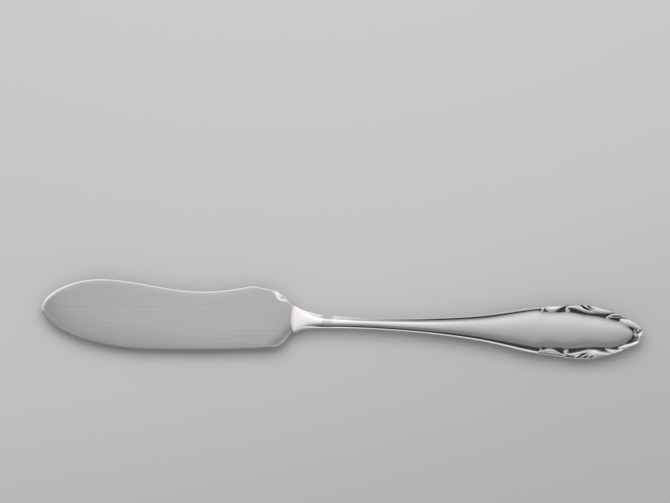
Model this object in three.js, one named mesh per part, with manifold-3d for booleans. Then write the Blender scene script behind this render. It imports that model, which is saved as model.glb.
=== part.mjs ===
// A hollow-handled butter knife: satin blade with tang, flared bolster, two stamped shells and their core.
// Millimetres, +Z up. X runs from the blade's tip to the handle's end, +Y is the back of the blade.
import * as THREE from "three";
import { mergeVertices } from "three/addons/utils/BufferGeometryUtils.js";
import Module from "manifold-3d";

// Blade
const BLADE_LENGTH = 73.2; // tip to the heel corners
const BACK_HEIGHT = 9.8; // handle axis up to the crown of the back
const EDGE_DEPTH = 10.2; // handle axis down to the deepest place of the edge
const BLADE_THICKNESS = 1.6;
const BACK_LAND = 0.5; // flat left on the back between its two roundings
const EDGE_LAND = 0.24; // flat left on the blunt edge
const BACK_ROUND = 0.42; // width of the rounding along the back, seen from above
const EDGE_ROUND = 0.5;
const BACK_FACET = 1.1; // extra width of the polished facet on the back's shoulder
const EDGE_FACET = 0.45; // extra width of the bevel on the edge's shoulder

// Tang, one piece with the blade
const TANG_LENGTH = 56; // from the heel
const TANG_INSET = 0.1; // each side of the tang lies this far under the blade's face
const TANG_PLAY = 0.12; // room at each side of the tang in the hollow of the neck
const TANG_ROOT = 3; // how far the tang's body runs into the blade that it is one with
const TONGUE_LENGTH = 2.4; // broad root of the tang inside the bolster's mouth
const TONGUE_WALL = 0.95; // metal of the bolster left at each side of it
const TANG_NOTCH = 0.28; // depth of the keying notches
const TANG_NOTCH_LENGTH = 1.6;
const TANG_NOTCH_PITCH = 4.5;
const TANG_NOTCHES = 3;

// Bolster
const BOLSTER_LENGTH = 9;
const LIP_WIDTH = 8.3;
const LIP_HEIGHT = 0.6; // height of the lip over each face of the blade
const LIP_ROUND = 0.42;
const LIP_BULGE = 0.64; // how far the middle of the lip stands forward of its corners
const LIP_RISE = 0.4; // the lip's middle lies this far to the back's side of the handle axis

// Handle shells
const HANDLE_LENGTH = 92.8; // bolster to the handle's end
const NECK_WIDTH = 3.32;
const NECK_THICKNESS = 4;
const HANDLE_WIDTH = 15.9;
const HANDLE_THICKNESS = 7.4;
const SHELL_WALL = 0.4;
const ORNAMENT_LENGTH = 31; // scroll border, measured back from the handle's end
const DOME_END_MARGIN = 2.8; // border left beyond the domed field at the handle's end
const DOME_END_LENGTH = 8.4; // stretch over which the dome closes down to the border
const HOLLOW_END_WALL = 1.6; // metal left between the hollow and the dome's end
const THREAD_NECK = 0.4; // width of the edge thread at the neck
const THREAD_WIDE = 0.8; // and where it runs into the border
const THREAD_CREST = 0.25; // share of that width at which its bevel starts, from the edge
const THREAD_RISE_NECK = 0.22; // its height over the groove beside it
const THREAD_RISE_WIDE = 0.48;
const GROOVE_NECK = 0.78; // height of the groove's floor over the middle plane
const GROOVE_WIDE = 0.52;
const GROOVE_WIDTH_NECK = 0.16; // from the thread to the dome
const GROOVE_WIDTH_WIDE = 0.45;
const END_LAND = 0.7; // width of the small flat at the very end
const EDGE_HEIGHT = 1.5; // height to which the outer wall of a shell curls up
const EDGE_CURL = 0.62; // and the width that the curl takes
const BORDER_RELIEF = 0.8; // height of the fullest scroll over the ground of the border
const SCROLL_WIDTH = 1; // width of a scroll's crest where it is full

// Core
const FILLER_START = 30; // from the bolster's end of the shells
const FILLER_CLEARANCE = 0.12;

// Clearances
const SOLDER_GAP = 0.06; // between the two shells, and between them and the bolster
const SEAT_CLEARANCE = 0.1; // heel of the blade to the bolster's lip
const TANG_CLEARANCE = 0.16; // round the tang, in the bolster and in the core

// Facets
const BLADE_STEPS = 99;
const OUTLINE_SAMPLES = 4000; // places tried along the handle's outline for its rows
const WELD = 1e-4; // corners nearer than this are one
const TAPER_SPACING = 3.6;
const ORNAMENT_SPACING = 0.5;
const CAVITY_SPACING = 4;
const CUT_MARGIN = 1; // how far a cutting body runs past the face that it opens

const SILVER = new THREE.MeshStandardMaterial({ color: "#d8d7d3", roughness: 0.22, metalness: 1 });
const POLISHED_SILVER = new THREE.MeshStandardMaterial({ color: "#e2e1dd", roughness: 0.12, metalness: 1 });
const SATIN_STEEL = new THREE.MeshStandardMaterial({ color: "#b9bab9", roughness: 0.38, metalness: 1 });
const CEMENT = new THREE.MeshStandardMaterial({ color: "#8d8578", roughness: 0.9, metalness: 0 });

const wasm = await Module();
wasm.setup();

const mix = (a, b, share) => a + (b - a) * share;
const clamp = (value, low, high) => Math.min(Math.max(value, low), high);

// A smooth function through [x, y] points with rising x.
function profile(points) {
  const slope = points.map((_, i) => {
    const before = points[Math.max(i - 1, 0)];
    const after = points[Math.min(i + 1, points.length - 1)];
    return (after[1] - before[1]) / (after[0] - before[0]);
  });
  return (x) => {
    const next = points.findIndex((point) => point[0] > x);
    if (next === 0) return points[0][1];
    if (next < 0) return points.at(-1)[1];
    const [x0, y0] = points[next - 1];
    const [x1, y1] = points[next];
    const span = x1 - x0;
    const k = (x - x0) / span;
    const rise = k * k * (3 - 2 * k);
    const leave = k * (1 - k) * (1 - k) * span * slope[next - 1];
    const arrive = k * k * (k - 1) * span * slope[next];
    return mix(y0, y1, rise) + leave + arrive;
  };
}

// A closed body through rings of equally many points, its two ends closed as the flat function sees them.
// Each side facet is split along its shorter diagonal, so that ridges which cross the rings stay unbroken.
function loft(rings, flat) {
  const count = rings[0].length;
  const triangles = [];
  for (let r = 0; r + 1 < rings.length; r++) {
    for (let i = 0; i < count; i++) {
      const j = (i + 1) % count;
      const [a, b, c, d] = [rings[r][i], rings[r][j], rings[r + 1][j], rings[r + 1][i]];
      if (a.distanceTo(c) <= b.distanceTo(d)) triangles.push([a, b, c], [a, c, d]);
      else triangles.push([a, b, d], [b, c, d]);
    }
  }
  for (const ring of [rings[0], rings.at(-1)]) {
    const outline = ring.map(flat);
    const forward = THREE.ShapeUtils.isClockWise(outline) === (ring === rings[0]);
    for (const [a, b, c] of THREE.ShapeUtils.triangulateShape(outline, [])) {
      triangles.push(forward ? [ring[a], ring[b], ring[c]] : [ring[a], ring[c], ring[b]]);
    }
  }
  return facingOut(triangles);
}

function facingOut(triangles) {
  const crossed = new THREE.Vector3();
  const volume = triangles.reduce((sum, [a, b, c]) => sum + a.dot(crossed.crossVectors(b, c)), 0);
  const corners = triangles.flatMap(([a, b, c]) => (volume > 0 ? [a, b, c] : [a, c, b]));
  return new THREE.BufferGeometry().setFromPoints(corners);
}

function solid(geometry) {
  const bare = geometry.clone();
  bare.deleteAttribute("normal");
  bare.deleteAttribute("uv");
  const merged = mergeVertices(bare, WELD);
  return new wasm.Manifold(
    new wasm.Mesh({
      numProp: 3,
      vertProperties: merged.attributes.position.array,
      triVerts: new Uint32Array(merged.index.array),
    }),
  );
}

function geometryOf(body) {
  const mesh = body.getMesh();
  return new THREE.BufferGeometry()
    .setAttribute("position", new THREE.BufferAttribute(mesh.vertProperties, 3))
    .setIndex(new THREE.BufferAttribute(mesh.triVerts, 1));
}

function piece(name, geometry, material) {
  geometry.computeVertexNormals();
  const mesh = new THREE.Mesh(geometry, material);
  mesh.name = name;
  return mesh;
}

// Blade: a plate whose outline is rounded off by bands of varying width
// Shares of the blade's length from the tip, and of the back's height or the edge's depth.
const BACK_LINE = [
  [0.0145, 0.314], [0.0335, 0.468], [0.072, 0.673], [0.14, 0.885], [0.2, 0.975], [0.26, 1], [0.32, 0.972],
  [0.388, 0.916], [0.469, 0.831], [0.548, 0.762], [0.627, 0.745], [0.706, 0.787], [0.786, 0.888],
  [0.825, 0.957], [0.846, 0.97], [0.885, 0.923], [0.925, 0.855], [0.966, 0.668],
];
const EDGE_LINE = [
  [0.0086, 0.07], [0.038, 0.318], [0.079, 0.528], [0.16, 0.759], [0.239, 0.886], [0.32, 0.972], [0.4, 1],
  [0.478, 0.994], [0.637, 0.957], [0.795, 0.894], [0.874, 0.851], [0.934, 0.797], [0.954, 0.737],
  [0.973, 0.626],
];
const TIP_SHARE = 0.058; // share of the back's height at which the tip lies
const LIP_STEPS = 8;

// How far the lip's face stands forward at a height y.
function lipFace(y) {
  const across = clamp((y - LIP_RISE) / (LIP_WIDTH / 2), -1, 1);
  return -LIP_BULGE * (1 - across * across);
}

function bladeOutline() {
  const at = (share, y) => new THREE.Vector2((share - 1) * BLADE_LENGTH, y);
  const back = BACK_LINE.map(([share, height]) => at(share, height * BACK_HEIGHT));
  const edge = EDGE_LINE.map(([share, depth]) => at(share, -depth * EDGE_DEPTH));
  const tip = at(0, TIP_SHARE * BACK_HEIGHT);
  const [heelTop, heelBottom] = [1, -1].map((way) => at(1, LIP_RISE + (way * LIP_WIDTH) / 2));
  const rim = [heelTop, ...back.reverse(), tip, ...edge, heelBottom];
  const points = new THREE.SplineCurve(rim).getPoints(BLADE_STEPS);
  const [top, bottom] = [points[0].y, points.at(-1).y];
  for (let i = 0; i <= LIP_STEPS; i++) {
    const y = mix(bottom, top, i / LIP_STEPS);
    const heel = new THREE.Vector2(lipFace(y) - SEAT_CLEARANCE, y);
    if (i === 0) points[points.length - 1] = heel;
    else if (i === LIP_STEPS) points[0] = heel;
    else points.push(heel);
  }
  return points;
}

// Width of the rounding at a place on the outline: thin along the blade, a wide facet on each shoulder.
const backFacet = profile([[0.9, 0], [0.945, 0.75], [0.97, 1], [0.985, 0.45], [1, -0.3]]);
const edgeFacet = profile([[0.9, 0], [0.955, 1], [0.985, 0.8], [1, -0.6]]);
const LEAST_ROUND = 0.05;

function roundingAt(point) {
  const share = 1 + point.x / BLADE_LENGTH;
  if (point.y > 0) return BACK_ROUND + BACK_FACET * backFacet(share);
  return EDGE_ROUND + EDGE_FACET * edgeFacet(share);
}

function bladePlate() {
  const outline = bladeOutline();
  const count = outline.length;
  const inward = outline.map((_, i) => {
    const along = outline[(i + 1) % count].clone().sub(outline[(i + count - 1) % count]).normalize();
    return new THREE.Vector2(-along.y, along.x);
  });
  const heelStart = BLADE_STEPS; // the outline's last stretch lies along the lip and keeps its full thickness
  const ring = (turn, side) =>
    outline.map((point, i) => {
      const heel = i === 0 || i >= heelStart;
      const inset = heel ? 0 : Math.max(roundingAt(point), LEAST_ROUND) * (1 - Math.cos(turn));
      const land = point.y > 0 ? BACK_LAND / 2 : EDGE_LAND / 2;
      const height = mix(land, BLADE_THICKNESS / 2, Math.sin(turn));
      return new THREE.Vector3(point.x + inward[i].x * inset, point.y + inward[i].y * inset, side * height);
    });
  const turns = [Math.PI / 2, Math.PI / 4, 0];
  const rings = [...turns.map((turn) => ring(turn, -1)), ...turns.reverse().map((turn) => ring(turn, 1))];
  return loft(rings, (v) => new THREE.Vector2(v.x, v.y));
}

// Half width of the bolster along its flare, which the tang's tongue keeps inside.
const FLARE = profile([
  [0, 1], [0.055, 0.955], [0.233, 0.6], [0.394, 0.365], [0.555, 0.2], [0.8, 0.05], [1, 0],
]);
const bolsterHalf = (x) => mix(mouthHalf, LIP_WIDTH / 2, FLARE(x / BOLSTER_LENGTH));
// Half width of the hollow where the neck is narrowest.
const neckHollow = NECK_WIDTH / 2 - THREAD_NECK - GROOVE_WIDTH_NECK - SHELL_WALL / 2;

// Outline of the tang, grown by a clearance where it is used to cut its slot.
function tangBody(clearance, notched) {
  const root = -LIP_BULGE - (notched ? TANG_ROOT : CUT_MARGIN);
  const tongue = bolsterHalf(TONGUE_LENGTH) - TONGUE_WALL + clearance;
  const half = neckHollow - TANG_PLAY + clearance;
  const neck = TONGUE_LENGTH + clearance;
  const end = TANG_LENGTH + clearance;
  const side = [[root, tongue], [neck, tongue], [neck + tongue - half, half]];
  for (let n = TANG_NOTCHES; notched && n > 0; n--) {
    const from = end - n * TANG_NOTCH_PITCH;
    const to = from + TANG_NOTCH_LENGTH;
    side.push([from, half], [from + TANG_NOTCH, half - TANG_NOTCH]);
    side.push([to - TANG_NOTCH, half - TANG_NOTCH], [to, half]);
  }
  side.push([end - half / 2, half], [end, half / 2]);
  const lower = side.map(([x, y]) => new THREE.Vector2(x, LIP_RISE * rootShare(x) - y));
  const upper = side.map(([x, y]) => new THREE.Vector2(x, LIP_RISE * rootShare(x) + y));
  const depth = BLADE_THICKNESS - 2 * TANG_INSET + 2 * clearance;
  const shape = new THREE.Shape([...lower, ...upper.reverse()]);
  return new THREE.ExtrudeGeometry(shape, { depth, bevelEnabled: false }).translate(0, 0, -depth / 2);
}

// The tongue follows the lip's middle and the tang the handle's axis.
function rootShare(x) {
  return x <= TONGUE_LENGTH + TANG_CLEARANCE ? 1 : 0;
}

function bladeWithTang() {
  return geometryOf(solid(bladePlate()).add(solid(tangBody(0, true))));
}

// Handle outline: half widths along the handle, in shares of the swell from neck to border
const TAPER = [
  [0, 0.053], [0.078, 0.016], [0.175, 0], [0.264, 0.012], [0.358, 0.043], [0.45, 0.09], [0.547, 0.177],
  [0.641, 0.28], [0.735, 0.416], [0.829, 0.611], [0.922, 0.835], [1, 1],
];
// Border outline, in shares of the border's length and of the handle's half width.
const CROWN = [
  [0, 0.855], [0.161, 0.906], [0.226, 0.937], [0.29, 0.969], [0.355, 0.99], [0.419, 1], [0.484, 0.987],
  [0.548, 0.95], [0.613, 0.893], [0.677, 0.824], [0.742, 0.748], [0.806, 0.648], [0.871, 0.503],
  [0.903, 0.434], [0.936, 0.352], [0.961, 0.264], [0.981, 0.17], [0.9935, 0.088], [1, 0],
];
// Edge of the domed field inside the border, in shares of its reach there and of the handle's half width.
const FIELD = profile([
  [0, 0.705], [0.107, 0.66], [0.213, 0.675], [0.284, 0.7], [0.355, 0.695], [0.425, 0.665], [0.497, 0.625],
  [0.567, 0.605], [0.709, 0.572], [0.78, 0.53], [0.851, 0.478], [0.886, 0.425], [0.922, 0.36], [0.957, 0.28],
  [0.986, 0.18], [1, 0],
]);
// Growth of the handle's thickness, in shares of its length.
const SWELL = profile([
  [0, 0], [0.12, 0], [0.25, 0.07], [0.42, 0.33], [0.58, 0.7], [0.74, 1], [0.84, 0.96], [0.92, 0.72], [1, 0.3],
]);

const taperLength = HANDLE_LENGTH - ORNAMENT_LENGTH;
const domeEnd = HANDLE_LENGTH - DOME_END_MARGIN;
const borderHalf = (HANDLE_WIDTH / 2) * CROWN[0][1];

// Rows of the handle's surface: [x from the bolster, half width], close together in the border.
function handleRows() {
  const taper = TAPER.map(([share, swell]) => [share * taperLength, mix(NECK_WIDTH / 2, borderHalf, swell)]);
  const crown = CROWN.slice(1).map(([share, half]) => [
    taperLength + share * ORNAMENT_LENGTH,
    (half * HANDLE_WIDTH) / 2,
  ]);
  const side = [...taper, ...crown].map(([x, y]) => new THREE.Vector2(x, y));
  const mirrored = side.slice(0, -1).reverse().map((p) => new THREE.Vector2(p.x, -p.y));
  const around = new THREE.SplineCurve([...side, ...mirrored]).getSpacedPoints(OUTLINE_SAMPLES);
  const dense = around.slice(0, OUTLINE_SAMPLES / 2);
  const rows = [dense[0]];
  let walked = 0;
  for (let i = 1; i < dense.length; i++) {
    walked += dense[i].distanceTo(dense[i - 1]);
    const step = dense[i].x < taperLength - TAPER_SPACING ? TAPER_SPACING : ORNAMENT_SPACING;
    if (walked < step) continue;
    rows.push(dense[i]);
    walked = 0;
  }
  const end = dense.findLast((point) => point.y > END_LAND / 2);
  return [...rows.filter((row) => end.x - row.x > END_LAND / 4), end];
}

const rows = handleRows();
const mouthHalf = rows[0].y;

function distanceToSegment(px, py, a, b) {
  const [dx, dy] = [b[0] - a[0], b[1] - a[1]];
  const share = clamp(((px - a[0]) * dx + (py - a[1]) * dy) / (dx * dx + dy * dy), 0, 1);
  return { share, distance: Math.hypot(px - a[0] - dx * share, py - a[1] - dy * share) };
}

const outlineLine = [...rows.map((row) => [row.x, row.y]), [HANDLE_LENGTH, 0]];

function distanceToOutline(x, y) {
  let least = Infinity;
  for (let i = 0; i + 1 < outlineLine.length; i++) {
    least = Math.min(least, distanceToSegment(x, Math.abs(y), outlineLine[i], outlineLine[i + 1]).distance);
  }
  return least;
}

// Scroll border, its strokes as shares of [border length, handle's half width, scroll's half width, relief]
const STROKES = [
  // thread end, curling in
  [
    [0, 0.83, 0.56, 0.65], [0.026, 0.822, 0.62, 0.7], [0.042, 0.785, 0.72, 0.8], [0.051, 0.745, 0.88, 0.9],
  ],
  // long leaf, its lower rim and its body
  [
    [0.068, 0.818, 0.6, 0.7], [0.084, 0.767, 0.8, 0.85], [0.106, 0.73, 0.95, 0.95], [0.135, 0.72, 1, 1],
    [0.165, 0.742, 0.95, 0.95], [0.194, 0.79, 0.85, 0.9], [0.226, 0.849, 0.7, 0.75],
    [0.258, 0.899, 0.55, 0.6], [0.284, 0.925, 0.4, 0.45],
  ],
  [[0.097, 0.818, 1, 0.7], [0.139, 0.811, 1.2, 0.75], [0.177, 0.836, 1.1, 0.72], [0.21, 0.874, 0.8, 0.6]],
  // hooked scroll
  [
    [0.292, 0.723, 0.7, 0.8], [0.279, 0.755, 0.85, 0.95], [0.274, 0.799, 0.85, 0.95],
    [0.282, 0.843, 0.75, 0.9], [0.3, 0.878, 0.9, 0.9], [0.323, 0.89, 1.2, 0.92], [0.348, 0.875, 1.3, 0.95],
    [0.377, 0.843, 1.3, 0.97],
    [0.403, 0.808, 1.2, 1], [0.429, 0.774, 1.15, 1], [0.458, 0.74, 1.15, 1], [0.494, 0.711, 1.15, 1],
    [0.532, 0.698, 1.15, 1], [0.581, 0.698, 1.15, 0.95], [0.629, 0.714, 1, 0.85], [0.677, 0.748, 0.8, 0.65],
    [0.719, 0.774, 0.5, 0.45],
  ],
  // back of the leaf outside the hooked scroll
  [
    [0.371, 0.937, 0.6, 0.75], [0.419, 0.906, 1, 0.8], [0.468, 0.874, 1.4, 0.82], [0.516, 0.849, 1.7, 0.82],
    [0.565, 0.83, 1.7, 0.8], [0.613, 0.818, 1.4, 0.75], [0.661, 0.805, 1, 0.65], [0.71, 0.792, 0.6, 0.5],
  ],
  // crescent leaf
  [
    [0.661, 0.572, 0.6, 0.8], [0.69, 0.631, 0.8, 0.9], [0.723, 0.675, 0.9, 0.95], [0.755, 0.688, 0.9, 0.95],
    [0.787, 0.66, 0.85, 0.9], [0.813, 0.597, 0.6, 0.7],
  ],
  // end scroll
  [
    [0.797, 0.497, 0.8, 0.8], [0.819, 0.459, 1.15, 0.95], [0.852, 0.428, 1.15, 1], [0.884, 0.387, 1.05, 0.95],
    [0.916, 0.335, 0.95, 0.9], [0.942, 0.277, 0.8, 0.8],
  ],
  // bead beside the shell
  [[0.949, 0.11, 0.66, 0.8], [0.951, 0.1, 0.66, 0.8]],
  // end shell, and the leaf laid across behind it
  [[0.966, 0.19, 0.6, 0.75], [0.975, 0.09, 0.9, 0.9], [0.978, 0, 1, 0.95]],
  [[0.93, 0.12, 0.9, 0.45], [0.936, 0.06, 1.2, 0.52], [0.938, 0, 1.2, 0.55]],
];

const strokes = STROKES.map((stroke) =>
  stroke.map(([along, across, half, relief]) => ({
    at: [taperLength + along * ORNAMENT_LENGTH, (across * HANDLE_WIDTH) / 2],
    half: (half * SCROLL_WIDTH) / 2,
    relief: relief * BORDER_RELIEF,
  })),
);

const STROKE_FOOT_RATIO = 1.35; // a stroke spreads into the ground this much wider than its crest reads

// Height of a rounded stroke at a place, over the ground that it lies on.
function strokeRelief(stroke, x, y) {
  let highest = 0;
  for (let i = 0; i + 1 < stroke.length; i++) {
    const [a, b] = [stroke[i], stroke[i + 1]];
    const { share, distance } = distanceToSegment(x, Math.abs(y), a.at, b.at);
    const reach = distance / (STROKE_FOOT_RATIO * mix(a.half, b.half, share));
    if (reach < 1) highest = Math.max(highest, mix(a.relief, b.relief, share) * (1 - reach * reach));
  }
  return highest;
}

// Share of the way from neck to border, for what grows with the handle's width.
const widthShare = (half) => clamp((half - NECK_WIDTH / 2) / (borderHalf - NECK_WIDTH / 2), 0, 1);
const threadWidth = (half) => mix(THREAD_NECK, THREAD_WIDE, widthShare(half));
const grooveFloor = (x, half) =>
  x < taperLength ? mix(GROOVE_NECK, GROOVE_WIDE, widthShare(half)) : GROOVE_WIDE;

function fieldHalf(x, half) {
  const groove = mix(GROOVE_WIDTH_NECK, GROOVE_WIDTH_WIDE, widthShare(half));
  const inThread = half - threadWidth(half) - groove;
  if (x < taperLength) return inThread;
  const border = (FIELD((x - taperLength) / (domeEnd - taperLength)) * HANDLE_WIDTH) / 2;
  return Math.min(border, inThread);
}

// Height of the dome along the handle's middle line, closing down to the groove at its far end.
function domeHeight(x, half) {
  const floor = grooveFloor(x, half);
  const full = mix(NECK_THICKNESS, HANDLE_THICKNESS, SWELL(x / HANDLE_LENGTH)) / 2;
  const close = clamp((x - domeEnd) / DOME_END_LENGTH + 1, 0, 1);
  return floor + (full - floor) * Math.sqrt(1 - close * close);
}

const DOME_FULLNESS = 0.8; // 0.5 is an ellipse, 1 a parabola
const FIELD_END_HALF = 0.06; // half width of the field where it runs out to nothing
const WALL_SLOPE = 9; // steepness of a shell's side above its curled foot

// Height of the plain dome, which the border's ground meets at the field's edge.
function domeAt(x, y, half) {
  const floor = grooveFloor(x, half);
  const across = Math.min(Math.abs(y) / Math.max(fieldHalf(x, half), FIELD_END_HALF), 1);
  return floor + (domeHeight(x, half) - floor) * (1 - across * across) ** DOME_FULLNESS;
}

// Height of a shell's outer surface over the middle plane, at x from the bolster and y from the axis.
function shellHeight(x, y, half) {
  const floor = grooveFloor(x, half);
  const inEdge = distanceToOutline(x, y);
  let height = domeAt(x, y, half);
  if (x < taperLength) {
    const bevel = (1 - inEdge / threadWidth(half)) / (1 - THREAD_CREST);
    const rise = mix(THREAD_RISE_NECK, THREAD_RISE_WIDE, widthShare(half));
    height = Math.max(height, floor + rise * clamp(bevel, 0, 1));
  } else {
    for (const stroke of strokes) height = Math.max(height, floor + strokeRelief(stroke, x, y));
  }
  const curl = 1 - Math.min(inEdge / EDGE_CURL, 1);
  const wall = EDGE_HEIGHT * Math.sqrt(1 - curl * curl) + WALL_SLOPE * Math.max(inEdge - EDGE_CURL, 0);
  return Math.min(height, wall);
}

// Places across the handle, close together in the border, from one edge to the other.
const HALF_PLACES = [1, 0.985, 0.955, 0.915, 0.87, 0.825, 0.78, 0.735, 0.69, 0.645, 0.6, 0.5, 0.36, 0.19];
const places = [...HALF_PLACES.map((place) => -place), 0, ...[...HALF_PLACES].reverse()];

function sectionHeights(row) {
  return places.map((place) => (Math.abs(place) === 1 ? 0 : shellHeight(row.x, place * row.y, row.y)));
}

function shellBody() {
  const start = BOLSTER_LENGTH + SOLDER_GAP;
  const seam = SOLDER_GAP / 2;
  const rings = rows.map((row) => {
    const heights = sectionHeights(row);
    return places.map(
      (place, i) => new THREE.Vector3(start + row.x, place * row.y, Math.max(heights[i], seam)),
    );
  });
  return solid(loft(rings, (v) => new THREE.Vector2(v.y, v.z)));
}

// Hollow of the handle: follows the dome at the wall's thickness.
const HOLLOW_PLACES = [1, 0.93, 0.78, 0.55, 0.28, 0];
const hollowEnd = domeEnd - HOLLOW_END_WALL;

function halfWidthAt(x) {
  const next = Math.max(rows.findIndex((row) => row.x >= x), 1);
  const [a, b] = [rows[next - 1], rows[next]];
  return mix(a.y, b.y, clamp((x - a.x) / (b.x - a.x), 0, 1));
}

function hollowSection(x, clearance) {
  const at = Math.max(x, 0);
  const half = halfWidthAt(at);
  const width = fieldHalf(at, half) - SHELL_WALL / 2 - clearance;
  return HOLLOW_PLACES.map((place) => {
    const y = place * width;
    return [y, domeAt(at, y, half) - SHELL_WALL - clearance];
  });
}

function hollowPlaces(from, to) {
  const steps = Math.ceil((to - from) / CAVITY_SPACING);
  return Array.from({ length: steps + 1 }, (_, i) => mix(from, to, i / steps));
}

function hollowCutter() {
  const start = BOLSTER_LENGTH + SOLDER_GAP;
  const rings = hollowPlaces(-CUT_MARGIN, hollowEnd).map((x) => {
    const side = hollowSection(x, 0);
    const right = side.map(([y, z]) => new THREE.Vector3(start + x, y, z));
    const left = side.slice(0, -1).reverse().map(([y, z]) => new THREE.Vector3(start + x, -y, z));
    const below = [-1, 1].map((way) => new THREE.Vector3(start + x, way * side[0][0], -CUT_MARGIN));
    return [...right, ...left, ...below];
  });
  return solid(loft(rings, (v) => new THREE.Vector2(v.y, v.z)));
}

function fillerBody() {
  const start = BOLSTER_LENGTH + SOLDER_GAP;
  const rings = hollowPlaces(FILLER_START, hollowEnd - FILLER_CLEARANCE).map((x) => {
    const side = hollowSection(x, FILLER_CLEARANCE);
    const quarter = (waySide, wayUp) =>
      side.map(([y, z]) => new THREE.Vector3(start + x, waySide * y, wayUp * z));
    const upper = [...quarter(1, 1), ...quarter(-1, 1).slice(0, -1).reverse()];
    const lower = [...quarter(-1, -1).slice(1), ...quarter(1, -1).slice(1, -1).reverse()];
    return [...upper, ...lower];
  });
  const core = solid(loft(rings, (v) => new THREE.Vector2(v.y, v.z)));
  return geometryOf(core.subtract(solid(tangBody(TANG_CLEARANCE, false))));
}

// Bolster: sections that flow from the broad lip to the neck of the shells
const OFFSET = profile([[0, 1], [0.233, 0.72], [0.394, 0.6], [0.555, 0.44], [0.8, 0.1], [1, 0]]);
const THICKEN = profile([[0, 0], [0.3, 0.45], [0.6, 0.82], [1, 1]]);
const LIP_SQUARENESS = 3.2; // 2 is an ellipse
const LIP_SIDE_SHARE = 0.3; // share of the lip's rounding that its corners take, seen from above
const LIP_FADE = 3; // how soon the forward curve of the lip dies out along the flare
const bolsterPlaces = places.filter((place, i) => i % 2 === 0);
const ROUND_STEPS = 4;
const FLARE_STEPS = 14;

function bolsterRing(x, inset) {
  const share = x / BOLSTER_LENGTH;
  const half = bolsterHalf(x) - inset * LIP_SIDE_SHARE;
  const grow = THICKEN(share);
  const thick = mix(BLADE_THICKNESS / 2 + LIP_HEIGHT, domeHeight(0, mouthHalf), grow) - inset;
  const scale = thick / domeHeight(0, mouthHalf);
  const blend = grow ** 2;
  const middle = LIP_RISE * OFFSET(share);
  const fade = (1 - share) ** LIP_FADE;
  const upper = bolsterPlaces.map((place) => {
    const lip = thick * (1 - Math.abs(place) ** LIP_SQUARENESS) ** (1 / LIP_SQUARENESS);
    const neck = Math.abs(place) === 1 ? 0 : shellHeight(0, place * mouthHalf, mouthHalf) * scale;
    const y = middle + place * half;
    return new THREE.Vector3(x + lipFace(y) * fade, y, mix(lip, neck, blend));
  });
  const lower = upper.slice(1, -1).reverse().map((v) => new THREE.Vector3(v.x, v.y, -v.z));
  return [...upper, ...lower];
}

function bolsterBody() {
  const lip = Array.from({ length: ROUND_STEPS }, (_, i) => {
    const turn = ((i / ROUND_STEPS) * Math.PI) / 2;
    return bolsterRing(LIP_ROUND * (1 - Math.cos(turn)), LIP_ROUND * (1 - Math.sin(turn)));
  });
  const flare = Array.from({ length: FLARE_STEPS + 1 }, (_, i) =>
    bolsterRing(mix(LIP_ROUND, BOLSTER_LENGTH, i / FLARE_STEPS), 0),
  );
  const body = solid(loft([...lip, ...flare], (v) => new THREE.Vector2(v.y, v.z)));
  return geometryOf(body.subtract(solid(tangBody(TANG_CLEARANCE, false))));
}

// Assembly
const frontShell = geometryOf(shellBody().subtract(hollowCutter()));
const knife = new THREE.Group();
knife.name = "butter_knife";
knife.add(piece("blade", bladeWithTang(), SATIN_STEEL));
knife.add(piece("bolster", bolsterBody(), POLISHED_SILVER));
knife.add(piece("handle_front_shell", frontShell, SILVER));
const backShell = piece("handle_back_shell", frontShell.clone(), SILVER);
backShell.rotation.x = Math.PI;
knife.add(backShell);
knife.add(piece("handle_filler", fillerBody(), CEMENT));

// The frame's origin is under the middle of the knife, level with the lowest place of the handle.
const box = new THREE.Box3().setFromObject(knife);
const middle = box.getCenter(new THREE.Vector3());
knife.position.set(-middle.x, -middle.y, -box.min.z);

export default knife;
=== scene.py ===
"""A butter knife: satin blade, polished bolster and a hollow silver handle with a scroll border.

The operators make the blade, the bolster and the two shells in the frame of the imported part, in metres,
give the core its finish and set the stage.
"""

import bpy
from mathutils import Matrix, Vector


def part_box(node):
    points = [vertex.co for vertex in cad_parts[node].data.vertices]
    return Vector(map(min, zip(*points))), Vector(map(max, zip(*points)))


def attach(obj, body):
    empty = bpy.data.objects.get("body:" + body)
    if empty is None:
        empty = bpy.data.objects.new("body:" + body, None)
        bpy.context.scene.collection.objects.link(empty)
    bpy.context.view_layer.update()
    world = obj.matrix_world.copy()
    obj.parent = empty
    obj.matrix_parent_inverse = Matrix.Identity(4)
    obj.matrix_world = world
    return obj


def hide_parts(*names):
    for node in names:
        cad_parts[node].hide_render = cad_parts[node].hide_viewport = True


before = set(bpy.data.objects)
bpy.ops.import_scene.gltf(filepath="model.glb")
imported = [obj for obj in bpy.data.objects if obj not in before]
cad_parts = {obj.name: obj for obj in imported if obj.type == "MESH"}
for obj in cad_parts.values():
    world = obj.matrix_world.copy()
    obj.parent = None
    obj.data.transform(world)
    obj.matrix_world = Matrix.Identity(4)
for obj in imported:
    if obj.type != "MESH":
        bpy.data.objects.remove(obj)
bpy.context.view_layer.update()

import math

import bmesh
import bpy
import numpy as np
from mathutils import Matrix, Vector

bl_info = {
    "name": "Butter Knife",
    "version": (1, 0, 0),
    "blender": (4, 5, 0),
    "location": "View3D > Sidebar > Butter Knife",
    "description": "Builds a hollow-handled butter knife with a stamped scroll border",
    "category": "Object",
}

MM = 0.001
PHOTO_WIDTH = 670

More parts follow.
